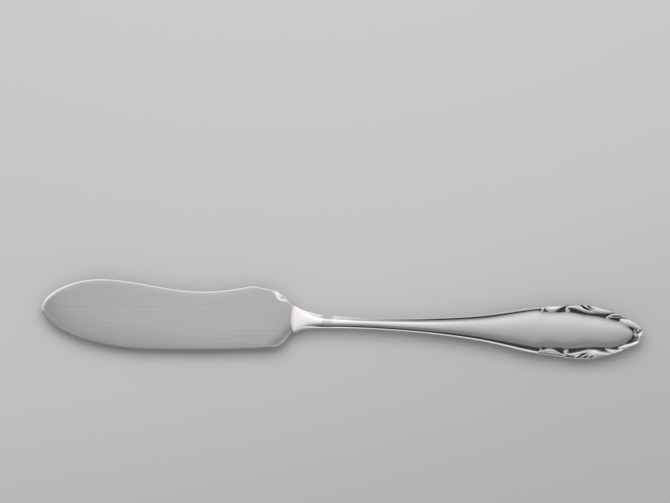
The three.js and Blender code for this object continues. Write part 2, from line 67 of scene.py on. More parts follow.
# Places taken from the frame
BLADE_LOW, BLADE_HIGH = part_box("blade")
_, BOLSTER_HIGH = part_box("bolster")
FRONT_LOW, FRONT_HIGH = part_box("handle_front_shell")
BACK_LOW, BACK_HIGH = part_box("handle_back_shell")
HANDLE_START = FRONT_LOW.x
HANDLE_LENGTH = FRONT_HIGH.x - FRONT_LOW.x
HANDLE_WIDTH = FRONT_HIGH.y - FRONT_LOW.y
HANDLE_HEIGHT = FRONT_HIGH.z - BACK_LOW.z
AXIS_Y = (FRONT_LOW.y + FRONT_HIGH.y) / 2
MIDDLE_Z = (FRONT_LOW.z + BACK_HIGH.z) / 2
SEAM = FRONT_LOW.z - MIDDLE_Z
BOLSTER_END = BOLSTER_HIGH.x
BLADE_TIP = BLADE_LOW.x
BLADE_THICKNESS = BLADE_HIGH.z - BLADE_LOW.z
TANG_END = BLADE_HIGH.x


def linear(code):
    """A colour written as sRGB hex, as the linear values that shaders take."""
    parts = [int(code[i:i + 2], 16) / 255 for i in (1, 3, 5)]
    return tuple(v / 12.92 if v <= 0.04045 else ((v + 0.055) / 1.055) ** 2.4 for v in parts)


def size_of(name, description, default):
    """A length that a user may change."""
    return bpy.props.FloatProperty(
        name=name, description=description, default=default, unit="LENGTH", precision=5)


def colour_of(name, description, code):
    """A colour that a user may change, written as sRGB hex."""
    return bpy.props.FloatVectorProperty(
        name=name, description=description, default=linear(code), subtype="COLOR", size=3, min=0, max=1)


class KnifeBladeSettings(bpy.types.PropertyGroup):
    """Sizes and finish of the blade with its tang."""

    length: size_of("Length", "Tip to the corners of the heel", 73.2 * MM)
    back_height: size_of("Back height", "Handle axis to the crown of the back", 9.8 * MM)
    edge_depth: size_of("Edge depth", "Handle axis to the deepest place of the edge", 10.2 * MM)
    back_round: size_of("Back rounding", "Width of the rounding along the back", 0.55 * MM)
    edge_round: size_of("Edge rounding", "Width of the rounding along the edge", 0.55 * MM)
    back_land: size_of("Back land", "Flat left on the back between its roundings", 0.5 * MM)
    edge_land: size_of("Edge land", "Flat left on the blunt edge", 0.16 * MM)
    edge_grind: size_of("Edge grind", "Depth by which each face is ground away towards the edge", 0.4 * MM)
    edge_grind_width: size_of("Edge grind width", "Width of that convex grind", 8 * MM)
    back_grind: size_of("Back grind", "Depth by which each face is ground away towards the back", 0.24 * MM)
    back_grind_width: size_of("Back grind width", "Width of that convex grind", 2.2 * MM)
    scoop: size_of("Scoop", "Depth of the hollow ground into the edge's shoulder", 0.08 * MM)
    tang_inset: size_of("Tang inset", "Depth of the tang's sides under the blade's faces", 0.1 * MM)
    tang_width: size_of("Tang width", "Width of the tang in the neck of the handle", 1.56 * MM)
    tongue_width: size_of("Tongue width", "Width of the tang's root in the bolster", 4.2 * MM)
    tongue_length: size_of("Tongue length", "Length of the tang's root", 2.4 * MM)
    brush_pitch: size_of("Brush pitch", "Spacing of the brush lines", 0.29 * MM)
    steel: colour_of("Brushed steel", "Stainless steel of the brushed faces", "#c1bebf")
    # Darker steel that paints shade towards the edge, at the tip and in the hollow of the edge's shoulder
    worn: colour_of("Worn steel", "The same steel dulled by use at tip and edge", "#918f8f")
    polished: colour_of("Polished steel", "Stainless steel of the ground and polished rims", "#cbc8c9")
    # A painted highlight: near-white steel on the flat facet of the back's shoulder
    painted_highlight_steel: colour_of("Gleaming steel", "The brightest polish, on the shoulder's facet", "#f8f4f4")


class KnifeBolsterSettings(bpy.types.PropertyGroup):
    """Sizes and finish of the bolster between blade and handle."""

    lip_width: size_of("Lip width", "Width of the lip that the blade's heel meets", 8.3 * MM)
    lip_height: size_of("Lip height", "Height of the lip over each face of the blade", 0.6 * MM)
    lip_round: size_of("Lip rounding", "Rounding of the lip's rim", 0.42 * MM)
    lip_bulge: size_of("Lip bulge", "How far the lip's middle stands forward of its corners", 0.64 * MM)
    lip_rise: size_of("Lip rise", "Offset of the lip's middle towards the back of the blade", 0.4 * MM)
    silver: colour_of("Silver", "Polished silver", "#f9f5f5")


class KnifeHandleSettings(bpy.types.PropertyGroup):
    """Sizes and finish of the two stamped shells."""

    neck_width: size_of("Neck width", "Width of the handle where it is narrowest", 3.32 * MM)
    neck_thickness: size_of("Neck thickness", "Thickness of the handle at the bolster", 4 * MM)
    wall: size_of("Wall", "Thickness of the stamped sheet", 0.4 * MM)
    border_length: size_of("Border length", "Length of the scroll border at the handle's end", 31 * MM)
    relief: size_of("Relief", "Height of the fullest scroll over its ground", 0.8 * MM)
    scroll_width: size_of("Scroll width", "Width of a full scroll's crest", 1 * MM)
    tarnish_depth: size_of("Tarnish depth", "Height over the ground at which tarnish is worn off", 0.3 * MM)
    satin: colour_of("Satin silver", "Silver dulled by fine scratches, on the dome", "#c6c3c4")
    bright: colour_of("Bright silver", "Silver kept bright by handling, on threads and scrolls", "#dcd9d9")
    # This colour also paints shade at the dome's foot, along the neck's groove on the edge's side, at the
    # bolster's lip and beside the joint
    tarnish: colour_of("Tarnish", "Silver sulphide left in the recesses", "#444243")


class KnifeStageSettings(bpy.types.PropertyGroup):
    """Floor, light and camera."""

    camera_distance: size_of("Camera distance", "Camera to the knife", 0.65)
    pixel: size_of("Pixel", "Size of a photograph pixel at the knife", 0.2904 * MM)
    look_along: size_of("Look along", "Blade tip to the place under the camera", 84.66 * MM)
    look_aside: size_of("Look aside", "Handle axis to the place under the camera", 20.4 * MM)
    turn: bpy.props.FloatProperty(
        name="Turn", description="Turn of the knife in the picture", subtype="ANGLE",
        default=math.radians(2.306))
    floor: colour_of("Floor", "Pale grey paper", "#c0c0c0")


# Outline of the blade, as shares of its length from the tip and of the back's height or the edge's depth
BACK_LINE = (
    (0.0145, 0.314), (0.0335, 0.468), (0.072, 0.673), (0.14, 0.885), (0.2, 0.975), (0.26, 1),
    (0.32, 0.972), (0.388, 0.916), (0.469, 0.831), (0.548, 0.762), (0.627, 0.745), (0.706, 0.787),
    (0.786, 0.888), (0.825, 0.957), (0.846, 0.97), (0.885, 0.923), (0.925, 0.855), (0.966, 0.668),
)
EDGE_LINE = (
    (0.0086, 0.07), (0.038, 0.318), (0.079, 0.528), (0.16, 0.759), (0.239, 0.886), (0.32, 0.972),
    (0.4, 1), (0.478, 0.994), (0.637, 0.957), (0.795, 0.894), (0.874, 0.851), (0.934, 0.797),
    (0.954, 0.737), (0.973, 0.626),
)
TIP_SHARE = 0.058

# Outline of the handle, as shares of the taper's length and of the growth from neck to border
TAPER = (
    (0, 0.053), (0.078, 0.016), (0.175, 0), (0.264, 0.012), (0.358, 0.043), (0.45, 0.09), (0.547, 0.177),
    (0.641, 0.28), (0.735, 0.416), (0.829, 0.611), (0.922, 0.835), (1, 1),
)
# Outline of the border, as shares of its length and of the handle's half width
CROWN = (
    (0, 0.855), (0.161, 0.906), (0.226, 0.937), (0.29, 0.969), (0.355, 0.99), (0.419, 1), (0.484, 0.987),
    (0.548, 0.95), (0.613, 0.893), (0.677, 0.824), (0.742, 0.748), (0.806, 0.648), (0.871, 0.508),
    (0.903, 0.462), (0.936, 0.4), (0.961, 0.33), (0.981, 0.245), (0.9935, 0.148), (1, 0),
)
# Domed field inside the border, as shares of its reach there and of the handle's half width
FIELD = (
    (0, 0.705), (0.107, 0.66), (0.213, 0.675), (0.284, 0.7), (0.355, 0.695), (0.425, 0.665),
    (0.497, 0.625), (0.567, 0.605), (0.709, 0.572), (0.78, 0.53), (0.851, 0.478), (0.886, 0.415),
    (0.922, 0.34), (0.957, 0.25), (0.986, 0.15), (1, 0),
)
# Growth of the handle's thickness, as shares of its length
SWELL = (
    (0, 0), (0.12, 0), (0.25, 0.07), (0.42, 0.33), (0.58, 0.7), (0.74, 1), (0.84, 0.96),
    (0.92, 0.72), (1, 0.3))

# Scrolls on both sides of the axis: shares of the border's length, the handle's half width, a scroll's width
# and the relief, which is below nought in a cut
SCROLLS = {
    "thread end": (
        (-0.048, 0.815, 0.52, 0.6), (0, 0.83, 0.56, 0.7), (0.026, 0.822, 0.7, 0.85),
        (0.041, 0.79, 0.9, 1.15), (0.05, 0.75, 1.05, 1.5)),
    "long leaf": (
        (0.068, 0.818, 0.6, 0.8), (0.084, 0.769, 0.8, 1), (0.106, 0.738, 1, 1.1),
        (0.135, 0.732, 1.1, 1.1), (0.165, 0.754, 1, 1.05), (0.194, 0.797, 0.85, 0.95),
        (0.226, 0.851, 0.7, 0.8), (0.258, 0.899, 0.55, 0.65), (0.284, 0.925, 0.4, 0.5)),
    "long leaf body": (
        (0.09, 0.79, 1.05, 0.58), (0.139, 0.778, 1.35, 0.66), (0.177, 0.803, 1.25, 0.62),
        (0.21, 0.848, 0.95, 0.54)),
    "hooked scroll": (
        (0.298, 0.722, 0.75, 1.2), (0.283, 0.735, 0.9, 1.4), (0.271, 0.772, 0.8, 1.25),
        (0.277, 0.817, 0.75, 1.1), (0.296, 0.848, 0.8, 1), (0.323, 0.862, 0.95, 0.94),
        (0.348, 0.857, 1.1, 0.94), (0.377, 0.837, 1.15, 0.97), (0.403, 0.808, 1.15, 1.05),
        (0.429, 0.774, 1.1, 1.1), (0.458, 0.742, 1.1, 1.02), (0.494, 0.714, 1.1, 0.86),
        (0.532, 0.701, 1, 0.7), (0.581, 0.7, 0.9, 0.6), (0.629, 0.716, 0.8, 0.6),
        (0.677, 0.748, 0.7, 0.55), (0.719, 0.774, 0.5, 0.5)),
    "leaf back": (
        (0.371, 0.937, 0.6, 0.7), (0.419, 0.9, 1, 0.76), (0.468, 0.852, 1.5, 0.84),
        (0.516, 0.805, 1.8, 0.92), (0.565, 0.778, 1.75, 0.94), (0.613, 0.768, 1.5, 0.9),
        (0.661, 0.768, 1.15, 0.75), (0.71, 0.776, 0.7, 0.5)),
    "crescent leaf": (
        (0.657, 0.572, 0.65, 1.2), (0.68, 0.63, 0.7, 1.05), (0.703, 0.672, 0.75, 0.86),
        (0.725, 0.693, 0.75, 0.78), (0.745, 0.698, 0.75, 0.76), (0.77, 0.685, 0.75, 0.75),
        (0.792, 0.652, 0.7, 0.75), (0.814, 0.59, 0.65, 0.7)),
    "first cut": (
        (0.392, 0.98, 0.34, -0.55), (0.412, 0.928, 0.4, -0.7), (0.435, 0.87, 0.42, -0.78),
        (0.461, 0.82, 0.38, -0.7), (0.49, 0.782, 0.28, -0.45), (0.515, 0.76, 0.18, -0.15)),
    "second cut": (
        (0.453, 0.98, 0.32, -0.45), (0.472, 0.92, 0.4, -0.6), (0.492, 0.87, 0.4, -0.6),
        (0.515, 0.826, 0.32, -0.45), (0.54, 0.795, 0.2, -0.18)),
}
# Scrolls without a twin. Those on the edge's side lie below nought
LONE_SCROLLS = {
    "crescent's inner rib": (
        (0.661, 0.57, 0.45, 1), (0.708, 0.592, 0.42, 0.8), (0.752, 0.597, 0.42, 0.75),
        (0.784, 0.585, 0.4, 0.6)),
    "crescent's body": (
        (0.69, 0.615, 0.7, 0.28), (0.72, 0.645, 0.9, 0.28), (0.75, 0.652, 0.9, 0.28),
        (0.785, 0.622, 0.8, 0.28)),
    "third cut": (
        (0.506, -0.97, 0.28, -0.4), (0.528, -0.912, 0.32, -0.42), (0.552, -0.864, 0.3, -0.38),
        (0.58, -0.828, 0.2, -0.2)),
    "lower crescent's body": (
        (0.675, -0.588, 0.8, 0.9), (0.71, -0.622, 1.1, 0.85), (0.75, -0.635, 1.2, 0.85),
        (0.785, -0.615, 1.15, 0.85), (0.812, -0.578, 0.9, 0.75)),
    "end scroll": (
        (0.795, 0.489, 1.3, 1), (0.819, 0.452, 1.7, 1.05), (0.852, 0.42, 1.8, 1.05),
        (0.884, 0.388, 1.8, 1.05), (0.914, 0.343, 1.8, 1), (0.938, 0.294, 1.8, 0.95),
        (0.955, 0.25, 1.6, 0.9)),
    "lower end scroll": (
        (0.795, -0.495, 1.3, 1), (0.819, -0.468, 1.6, 1.05), (0.852, -0.45, 1.6, 1.05),
        (0.884, -0.428, 1.6, 1.05), (0.914, -0.39, 1.5, 1), (0.938, -0.345, 1.3, 0.95),
        (0.955, -0.305, 1, 0.9)),
    "cross leaf": (
        (0.918, 0.135, 0.7, 0.5), (0.923, 0.07, 0.95, 0.5), (0.928, 0.01, 1.05, 0.45),
        (0.934, -0.05, 0.8, 0.35)),
    "bead": (
        (0.95, 0.126, 0.8, 1.15), (0.951, 0.12, 0.8, 1.15)),
    "curl": (
        (0.94, 0.28, 1.4, 0.9), (0.957, 0.237, 1.2, 0.9), (0.971, 0.185, 0.85, 0.85),
        (0.978, 0.15, 0.6, 0.7)),
    "end ground": (
        (0.905, -0.27, 1.1, 0.06), (0.925, -0.22, 1.2, 0.1), (0.945, -0.18, 1.2, 0.15),
        (0.962, -0.17, 1.1, 0.36)),
    "shell": (
        (0.962, -0.12, 0.9, 0.9), (0.969, -0.07, 1.4, 1), (0.978, -0.01, 1.6, 1),
        (0.985, 0.05, 1.2, 0.85)),
}


def smooth_line(points):
    """A smooth function of an array, through (x, y) points with rising x."""
    xs, ys = np.array(points, float).T
    last = len(xs) - 1
    places = np.arange(last + 1)
    before, after = np.maximum(places - 1, 0), np.minimum(places + 1, last)
    slopes = (ys[after] - ys[before]) / (xs[after] - xs[before])

    def at(x):
        x = np.clip(x, xs[0], xs[-1])
        i = np.clip(np.searchsorted(xs, x, side="right") - 1, 0, last - 1)
        span = xs[i + 1] - xs[i]
        k = (x - xs[i]) / span
        rise = k * k * (3 - 2 * k)
        leave = k * (1 - k) ** 2 * span * slopes[i]
        arrive = k * k * (k - 1) * span * slopes[i + 1]
        return ys[i] + (ys[i + 1] - ys[i]) * rise + leave + arrive

    return at


def smooth_path(points, count):
    """count + 1 places along a smooth curve through the points."""
    points = np.array(points, float)
    last = len(points) - 1
    place = np.linspace(0, last, count + 1)
    i = np.minimum(place.astype(int), last - 1)
    k = (place - i)[:, None]
    before, start = points[np.maximum(i - 1, 0)], points[i]
    end, after = points[i + 1], points[np.minimum(i + 2, last)]
    leave, arrive = (end - before) / 2, (after - start) / 2
    cubic = 2 * (start - end) + leave + arrive
    square = 3 * (end - start) - 2 * leave - arrive
    return ((cubic * k + square) * k + leave) * k + start


def ease(value, low, high):
    """0 below low, 1 above high and a smooth rise between them."""
    k = np.clip((value - low) / (high - low), 0, 1)
    return k * k * (3 - 2 * k)


def ease_out(value):
    """A rise from 0 that slows down to 1 at 1 and stays there."""
    return 1 - (1 - np.clip(value, 0, 1)) ** 2


def mix(pair, share):
    """The value that lies a share of the way from the first of a pair to the second."""
    return pair[0] + (pair[1] - pair[0]) * share


def across_places(count):
    """Shares of the half width, closer together towards the rim."""
    return np.sin(np.linspace(-math.pi / 2, math.pi / 2, 2 * count - 1))


def loft_faces(rings, count, first=0, closed=True):
    """Quads between rings of count vertices each, numbered from first."""
    faces = []
    for r in range(rings - 1):
        for i in range(count if closed else count - 1):
            j = (i + 1) % count
            a, b = first + r * count, first + (r + 1) * count
            faces.append((a + i, a + j, b + j, b + i))
    return faces


SHARP_ANGLE = math.radians(40)


def shaded(mesh, sharp_angle=SHARP_ANGLE):
    """The mesh, smooth-shaded and with its hard edges marked."""
    mesh.shade_smooth()
    mesh.set_sharp_from_angle(angle=sharp_angle)
    return mesh


def mesh_of(name, corners, faces, sharp_angle=SHARP_ANGLE):
    """A shaded mesh with its faces outward."""
    mesh = bpy.data.meshes.new(name)
    mesh.from_pydata([tuple(c) for c in corners], [], faces)
    edit = bmesh.new()
    edit.from_mesh(mesh)
    bmesh.ops.recalc_face_normals(edit, faces=edit.faces)
    edit.to_mesh(mesh)
    edit.free()
    return shaded(mesh, sharp_angle)


def keep(mesh, name, values):
    """Stores a value on each vertex for a material or a node tree to use."""
    mesh.attributes.new(name, "FLOAT", "POINT").data.foreach_set("value", values.astype(np.float32))


def linked(name, data):
    """A new object for a mesh, lamp or camera, in the scene."""
    made = bpy.data.objects.new(name, data)
    bpy.context.scene.collection.objects.link(made)
    return made


def show(name, mesh, material, slot, *nodes):
    """The finished piece: in place, riding the part's body and standing for its CAD nodes."""
    piece = linked(name, mesh)
    mesh.materials.clear()
    mesh.materials.append(material)
    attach(piece, "root")
    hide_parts(*nodes)


def evaluated_mesh(piece):
    """The piece's mesh with its modifiers applied. The piece itself is removed."""
    graph = bpy.context.evaluated_depsgraph_get()
    mesh = bpy.data.meshes.new_from_object(
        piece.evaluated_get(graph), preserve_all_data_layers=True, depsgraph=graph)
    bpy.data.objects.remove(piece)
    return mesh


def feed(tree, node, inputs):
    """Sets a node's inputs, each to a value or to the output socket that feeds it."""
    for socket, value in dict(inputs).items():
        if isinstance(value, bpy.types.NodeSocket):
            tree.links.new(value, node.inputs[socket])
        else:
            node.inputs[socket].default_value = value
    return node


def add_node(tree, kind, inputs=(), **settings):
    """Adds a node with its settings and inputs."""
    made = tree.nodes.new(kind)
    for key, value in settings.items():
        setattr(made, key, value)
    return feed(tree, made, inputs)


# Blade
BLADE_STEPS, RIM_STRIDE, BLADE_ACROSS = 3000, 10, 61
FACE_STEP, SHOULDER_STEP, LEAST_WIDTH = 0.32 * MM, 0.12 * MM, 0.2 * MM
RIM_REACH = 9 * MM
HEEL_CLEARANCE, TANG_ROOT = 0.1 * MM, -3.5 * MM
# Shares of the blade's length at which the shoulders begin and the heel bends to follow the lip
SHOULDER_START, HEEL_BEND_START = 0.885, 0.93
# What the ground facets add to the roundings' width, in shares of the blade's length and in millimetres
BACK_FACET = smooth_line((
    (0, 0.4), (0.05, 0.25), (0.12, 0.05), (0.2, 0), (0.9, 0), (0.915, 0.18), (0.9235, 0.3), (0.933, 0.52),
    (0.9426, 1), (0.955, 1.2), (0.967, 0.83), (0.977, 0.36), (0.988, 0.12), (1, 0.05)))
EDGE_FACET = smooth_line(((0.9, 0), (0.95, -0.22), (0.985, -0.22), (1, 0)))
LEAST_ROUND = 0.05 * MM
# A facet on the back's shoulder is flat once it is this wide
FACET_FLAT = (0.1 * MM, 0.6 * MM)
# Fades along the blade, in shares of its length, among them that of the painted highlight on the back's
# shoulder, and of the polish, in shares of the rounding's width
GRIND_FADE, CORNER_RISE, CORNER_FADE = (0.8, 0.93), (0.9, 0.94), (0.985, 1)
PAINTED_HIGHLIGHT_FADE, POLISH_FADE = (0.945, 0.975), (0.85, 1.1)
# Reach of the painted shade that darkens the faces from the edge, in shares of the blade's length and in
# millimetres, and the painted shade at the tip
EDGE_SHADE_REACH = smooth_line(((0, 3.6), (0.35, 3.6), (0.68, 1.6), (0.8, 1.7), (0.93, 3), (1, 3.2)))
RIM_SHADE, TIP_SHADE, TIP_SHADE_LENGTH = 0.65, 0.5, 9 * MM
# A nick in the facet of the back's shoulder, where painted shade dulls the polish and the painted highlight
NICK_SHARE, NICK_INSET, NICK_SHADE = 0.962, 0.68 * MM, 0.8
NICK_LENGTH, NICK_WIDTH, NICK_DEPTH = 0.5 * MM, 0.36 * MM, 0.3 * MM
# The hollow at the edge's shoulder, darkened with painted shade inside a rim that is left lighter as a
# painted highlight
SCOOP_RIM, SCOOP_DEEPEST, SCOOP_REACH = 0.4 * MM, 0.9 * MM, 3.5 * MM
SCOOP_SHADE, HIGHLIGHT_RIM = 0.42, 0.6


def lip_face(y, bolster):
    """How far the bolster's lip stands forward at a height y over the handle axis."""
    across = np.clip((y - bolster.lip_rise) / (bolster.lip_width / 2), -1, 1)
    return -bolster.lip_bulge * (1 - across * across)


def nearest_on(line, x, y, reach):
    """Distance to a line of points, up to reach, and the x of the nearest place on it."""
    distance, place = np.full(x.shape, reach), np.copy(x)
    for a, b in zip(line[:-1], line[1:]):
        near = np.abs(x - (a[0] + b[0]) / 2) < reach
        way = b - a
        from_x, from_y = x[near] - a[0], y[near] - a[1]
        share = np.clip((from_x * way[0] + from_y * way[1]) / (way @ way), 0, 1)
        found = np.hypot(from_x - way[0] * share, from_y - way[1] * share)
        closer = found < distance[near]
        distance[near] = np.where(closer, found, distance[near])
        place[near] = np.where(closer, a[0] + way[0] * share, place[near])
    return distance, place


def blade_sides(blade, bolster):
    """The back's line and the edge's line, each from the tip to the heel."""
    back = [(share - 1, height * blade.back_height / blade.length) for share, height in BACK_LINE]
    edge = [(share - 1, -depth * blade.edge_depth / blade.length) for share, depth in EDGE_LINE]
    tip = (-1, TIP_SHARE * blade.back_height / blade.length)
    heel = [(0, (bolster.lip_rise + way * bolster.lip_width / 2) / blade.length) for way in (1, -1)]
    rim = smooth_path([heel[0], *reversed(back), tip, *edge, heel[1]], BLADE_STEPS) * blade.length
    foremost = int(np.argmin(rim[:, 0]))
    return rim[:foremost + 1][::-1], rim[foremost:]


def blade_rows(back, edge, length):
    """Places along the blade, closer together at tip and shoulders, with both sides' heights there."""
    x = np.unique(np.concatenate([back[:, 0], edge[:, 0]]))
    upper, lower = np.interp(x, *back.T), np.interp(x, *edge.T)
    x, upper, lower = (line[upper - lower > LEAST_WIDTH] for line in (x, upper, lower))
    step = np.maximum(np.hypot(np.diff(x), np.diff(upper)), np.hypot(np.diff(x), np.diff(lower)))
    spacing = np.where(x[1:] < (SHOULDER_START - 1) * length, FACE_STEP, SHOULDER_STEP)
    walked = np.concatenate([[0], np.cumsum(step / spacing)])
    places = np.linspace(0, walked[-1], int(walked[-1]) + 1)
    return (np.interp(places, walked, line)[:, None] for line in (x, upper, lower))


def rounded(distance, width, land, top, flat):
    """Height of a rim that rises from its land to the face over a width, as an arc or as a flat facet."""
    share = np.clip(distance / width, 0, 1)
    return land + (top - land) * mix((np.sqrt(1 - (1 - share) ** 2), share), flat)


def blade_height(blade, back, edge, x, y):
    """Half the blade's thickness at each place, with its ground rims and shoulders, and its finish with
    painted shade and a painted highlight.
    """
    top = BLADE_THICKNESS / 2
    back_near, back_x = nearest_on(back[::RIM_STRIDE], x, y, RIM_REACH)
    edge_near, edge_x = nearest_on(edge[::RIM_STRIDE], x, y, RIM_REACH)
    back_share, edge_share = 1 + back_x / blade.length, 1 + edge_x / blade.length
    facet = BACK_FACET(back_share) * MM
    back_width = np.maximum(blade.back_round + facet, LEAST_ROUND)
    edge_width = np.maximum(blade.edge_round + EDGE_FACET(edge_share) * MM, LEAST_ROUND)
    flat = ease(facet, *FACET_FLAT) * (back_share > SHOULDER_START)
    back_fall = (1 - ease_out(back_near / blade.back_grind_width)) * (1 - ease(back_share, *GRIND_FADE))
    edge_fall = (1 - ease_out(edge_near / blade.edge_grind_width)) * (1 - ease(edge_share, *GRIND_FADE))
    height = np.minimum(
        rounded(back_near, back_width, blade.back_land / 2, top - blade.back_grind * back_fall, flat),
        rounded(edge_near, edge_width, blade.edge_land / 2, top - blade.edge_grind * edge_fall, 0))
    along_nick = (back_share - NICK_SHARE) * blade.length / NICK_LENGTH
    nick = np.exp(-(along_nick ** 2 + ((back_near - NICK_INSET) / NICK_WIDTH) ** 2))
    corner = ease(edge_share, *CORNER_RISE)
    shoulder = corner * (1 - ease(edge_share, *CORNER_FADE))
    past_rim = ease(edge_near, SCOOP_RIM, SCOOP_DEEPEST)
    scoop = past_rim * (1 - ease(edge_near, SCOOP_DEEPEST, SCOOP_REACH))
    polish = (1 - ease(back_near / back_width, *POLISH_FADE)) * (1 - NICK_SHADE * nick)
    # A painted highlight on the flat, polished facet of the back's shoulder
    gleam = polish * flat * (1 - ease(back_share, *PAINTED_HIGHLIGHT_FADE))
    # Painted shade darkens the faces towards the edge and the tip and in the shoulder's hollow; the hollow's
    # rim is left lighter as a painted highlight
    kept = HIGHLIGHT_RIM * corner * (1 - past_rim)
    wear = RIM_SHADE * np.exp(-edge_near / (EDGE_SHADE_REACH(edge_share) * MM)) * (1 - kept)
    wear += TIP_SHADE * np.exp(-(x + blade.length) / TIP_SHADE_LENGTH)
    wear = np.minimum(wear, RIM_SHADE) + SCOOP_SHADE * scoop * corner
    height = height - NICK_DEPTH * nick - blade.scoop * shoulder * scoop
    return height, {"polish": polish, "gleam": gleam, "wear": wear}


def blade_plate(blade, bolster):
    """The blade without its tang: two like faces that meet in a narrow wall round the rim."""
    back, edge = blade_sides(blade, bolster)
    x, upper, lower = blade_rows(back, edge, blade.length)
    across = across_places(BLADE_ACROSS)
    y = (upper + lower) / 2 + (upper - lower) / 2 * across
    x = np.broadcast_to(x, y.shape)
    height, finish = blade_height(blade, back, edge, x, y)
    bent = x + (lip_face(y, bolster) - HEEL_CLEARANCE) * ease(1 + x / blade.length, HEEL_BEND_START, 1)
    rows, wide = y.shape
    face = np.stack([bent, y, height], 2).reshape(-1, 3)
    half = rows * wide
    faces = loft_faces(rows, wide, closed=False) + loft_faces(rows, wide, first=half, closed=False)
    around = [*range(wide), *range(2 * wide - 1, half, wide), *range(half - 2, half - wide - 1, -1)]
    around += range(half - 2 * wide, 0, -wide)
    faces += [(a, b, b + half, a + half) for a, b in zip(around, around[1:] + around[:1])]
    mesh = mesh_of("blade_plate", np.concatenate([face, face * (1, 1, -1)]), faces)
    for name, values in finish.items():
        keep(mesh, name, np.tile(values.reshape(-1), 2))
    return mesh


def tang_outline(blade, bolster, grow):
    """One side after the other of the tang, from its root in the blade to its end in the handle."""
    tongue, half = blade.tongue_width / 2 + grow, blade.tang_width / 2 + grow
    waist, end = blade.tongue_length + grow, TANG_END - BLADE_TIP - blade.length + grow
    side = [(TANG_ROOT, tongue), (waist, tongue), (waist + tongue - half, half)]
    side += [(end - half / 2, half), (end, half / 2)]
    middle = [bolster.lip_rise if x <= waist else 0 for x, _ in side]
    lower = [(x, m - y) for (x, y), m in zip(side, middle)]
    upper = [(x, m + y) for (x, y), m in zip(side, middle)]
    return lower + upper[::-1]


def tang_mesh(name, blade, bolster, grow):
    """The tang as a plate, grown where it cuts its slot."""
    outline = tang_outline(blade, bolster, grow)
    half = BLADE_THICKNESS / 2 - blade.tang_inset + grow
    count = len(outline)
    corners = [(x, y, way * half) for way in (-1, 1) for x, y in outline]
    faces = loft_faces(2, count) + [tuple(range(count)), tuple(range(count, 2 * count))]
    return mesh_of(name, corners, faces)


def place_blade_frame(mesh, blade):
    """Moves a mesh from the heel's own frame to its place in the part."""
    mesh.transform(Matrix.Translation((BLADE_TIP + blade.length, AXIS_Y, MIDDLE_Z)))
    return mesh


def boolean(target, tool, operation):
    """The target mesh joined with or cut by the tool mesh."""
    piece, other = [linked(mesh.name, mesh) for mesh in (target, tool)]
    cut = piece.modifiers.new("Cut", "BOOLEAN")
    cut.object, cut.operation, cut.solver = other, operation, "EXACT"
    mesh = evaluated_mesh(piece)
    bpy.data.objects.remove(other)
    return shaded(mesh)


class KNIFE_OT_blade(bpy.types.Operator):
    """Make the blade with its tang"""

    bl_idname = "butter_knife.blade"
    bl_label = "Blade"

    def execute(self, context):
        blade, bolster = context.scene.knife_blade, context.scene.knife_bolster
        mesh = boolean(blade_plate(blade, bolster), tang_mesh("tang", blade, bolster, 0), "UNION")
        show("satin_blade", place_blade_frame(mesh, blade), brushed_steel(blade), "satin_steel", "blade")
        return {"FINISHED"}


# Handle
OUTLINE_STEPS, OUTLINE_STRIDE = 6000, 6
TAPER_STEP, BORDER_STEP, BORDER_LEAD, LEAST_HALF = 0.5 * MM, 0.11 * MM, 2 * MM, 0.1 * MM
SHELL_ACROSS, UNDER_ACROSS, SHELL_SHARP_ANGLE = 81, 21, math.radians(75)
DOME_END_MARGIN, DOME_END_LENGTH, HOLLOW_END_WALL = 2.8 * MM, 8.4 * MM, 1.6 * MM
DOME_FULLNESS, LEAST_FIELD = 0.8, 0.06 * MM
# Edge thread, the groove beside it and the rolled rim outside, each at the neck and at the border
THREAD_WIDTH, THREAD_RISE = (0.42 * MM, 0.85 * MM), (0.22 * MM, 0.48 * MM)
GROOVE_WIDTH, GROOVE_FLOOR = (0.15 * MM, 0.36 * MM), (0.78 * MM, 0.52 * MM)
EDGE_CURL, CURL_CHANGE = (0.25 * MM, 0.62 * MM), 3 * MM
EDGE_HEIGHT, WALL_SLOPE = 1.5 * MM, 9
# The thread's top falls inwards over this share of its width, and the thread runs on into the border
THREAD_TOP_SHARE, THREAD_TOP_FALL, THREAD_OVERLAP = 0.78, 0.35, 0.8 * MM
# A scroll's foot spreads past its width, and its crest is a little flatter than round
SCROLL_POINTS, SCROLL_FOOT, SCROLL_FLATNESS = 90, 1.4, 1.9
# The relief grows from the dome to the outline, and is level near the handle's end
LEAN, LEAN_MARGIN = (0.65, 1.3), 0.05 * MM
LEVEL_START, LEVEL_FULL = 9 * MM, 5 * MM
# The pattern is struck a little off the middle: millimetres along the border and towards the back's side
STRIKE_OFFSET = smooth_line((
    (-14, 0), (-7, 0.12), (0, 0.25), (17, 0.2), (19, 0.05), (21, -0.1), (24, -0.17), (26, -0.18),
    (27.5, -0.12), (29, 0), (31, 0)))
# Finish, by the distance from the bolster: polish gives way to a satin dome
NECK_SHINE = 14 * MM
SATIN_START, SATIN_FULL, SATIN_MARGIN = 20 * MM, 45 * MM, 0.3 * MM
# Tarnish and painted shade on the edge's side and on the back's: where they begin and are full, and the
# painted shade at the dome's foot
TARNISH_AND_SHADE_START, TARNISH_AND_SHADE_FULL = (-5.5 * MM, 10 * MM), (-0.3 * MM, 34 * MM)
FOOT_SHADE, FOOT_SHADE_WIDTH = (0.7, 0.3), 0.8 * MM
# It stays inside the thread, in shares of its width, and inside the border's rim
THREAD_FOOT, RIM_FOOT = (0.8, 1.05), (0.1 * MM, 0.35 * MM)
# In the border the darkening climbs higher on the back's side, outside the dome
DARKENING_SPREAD, SPREAD_GROWTH, SPREAD_EDGE = (1, 2.6), (4 * MM, 12 * MM), (-0.1 * MM, 0.2 * MM)
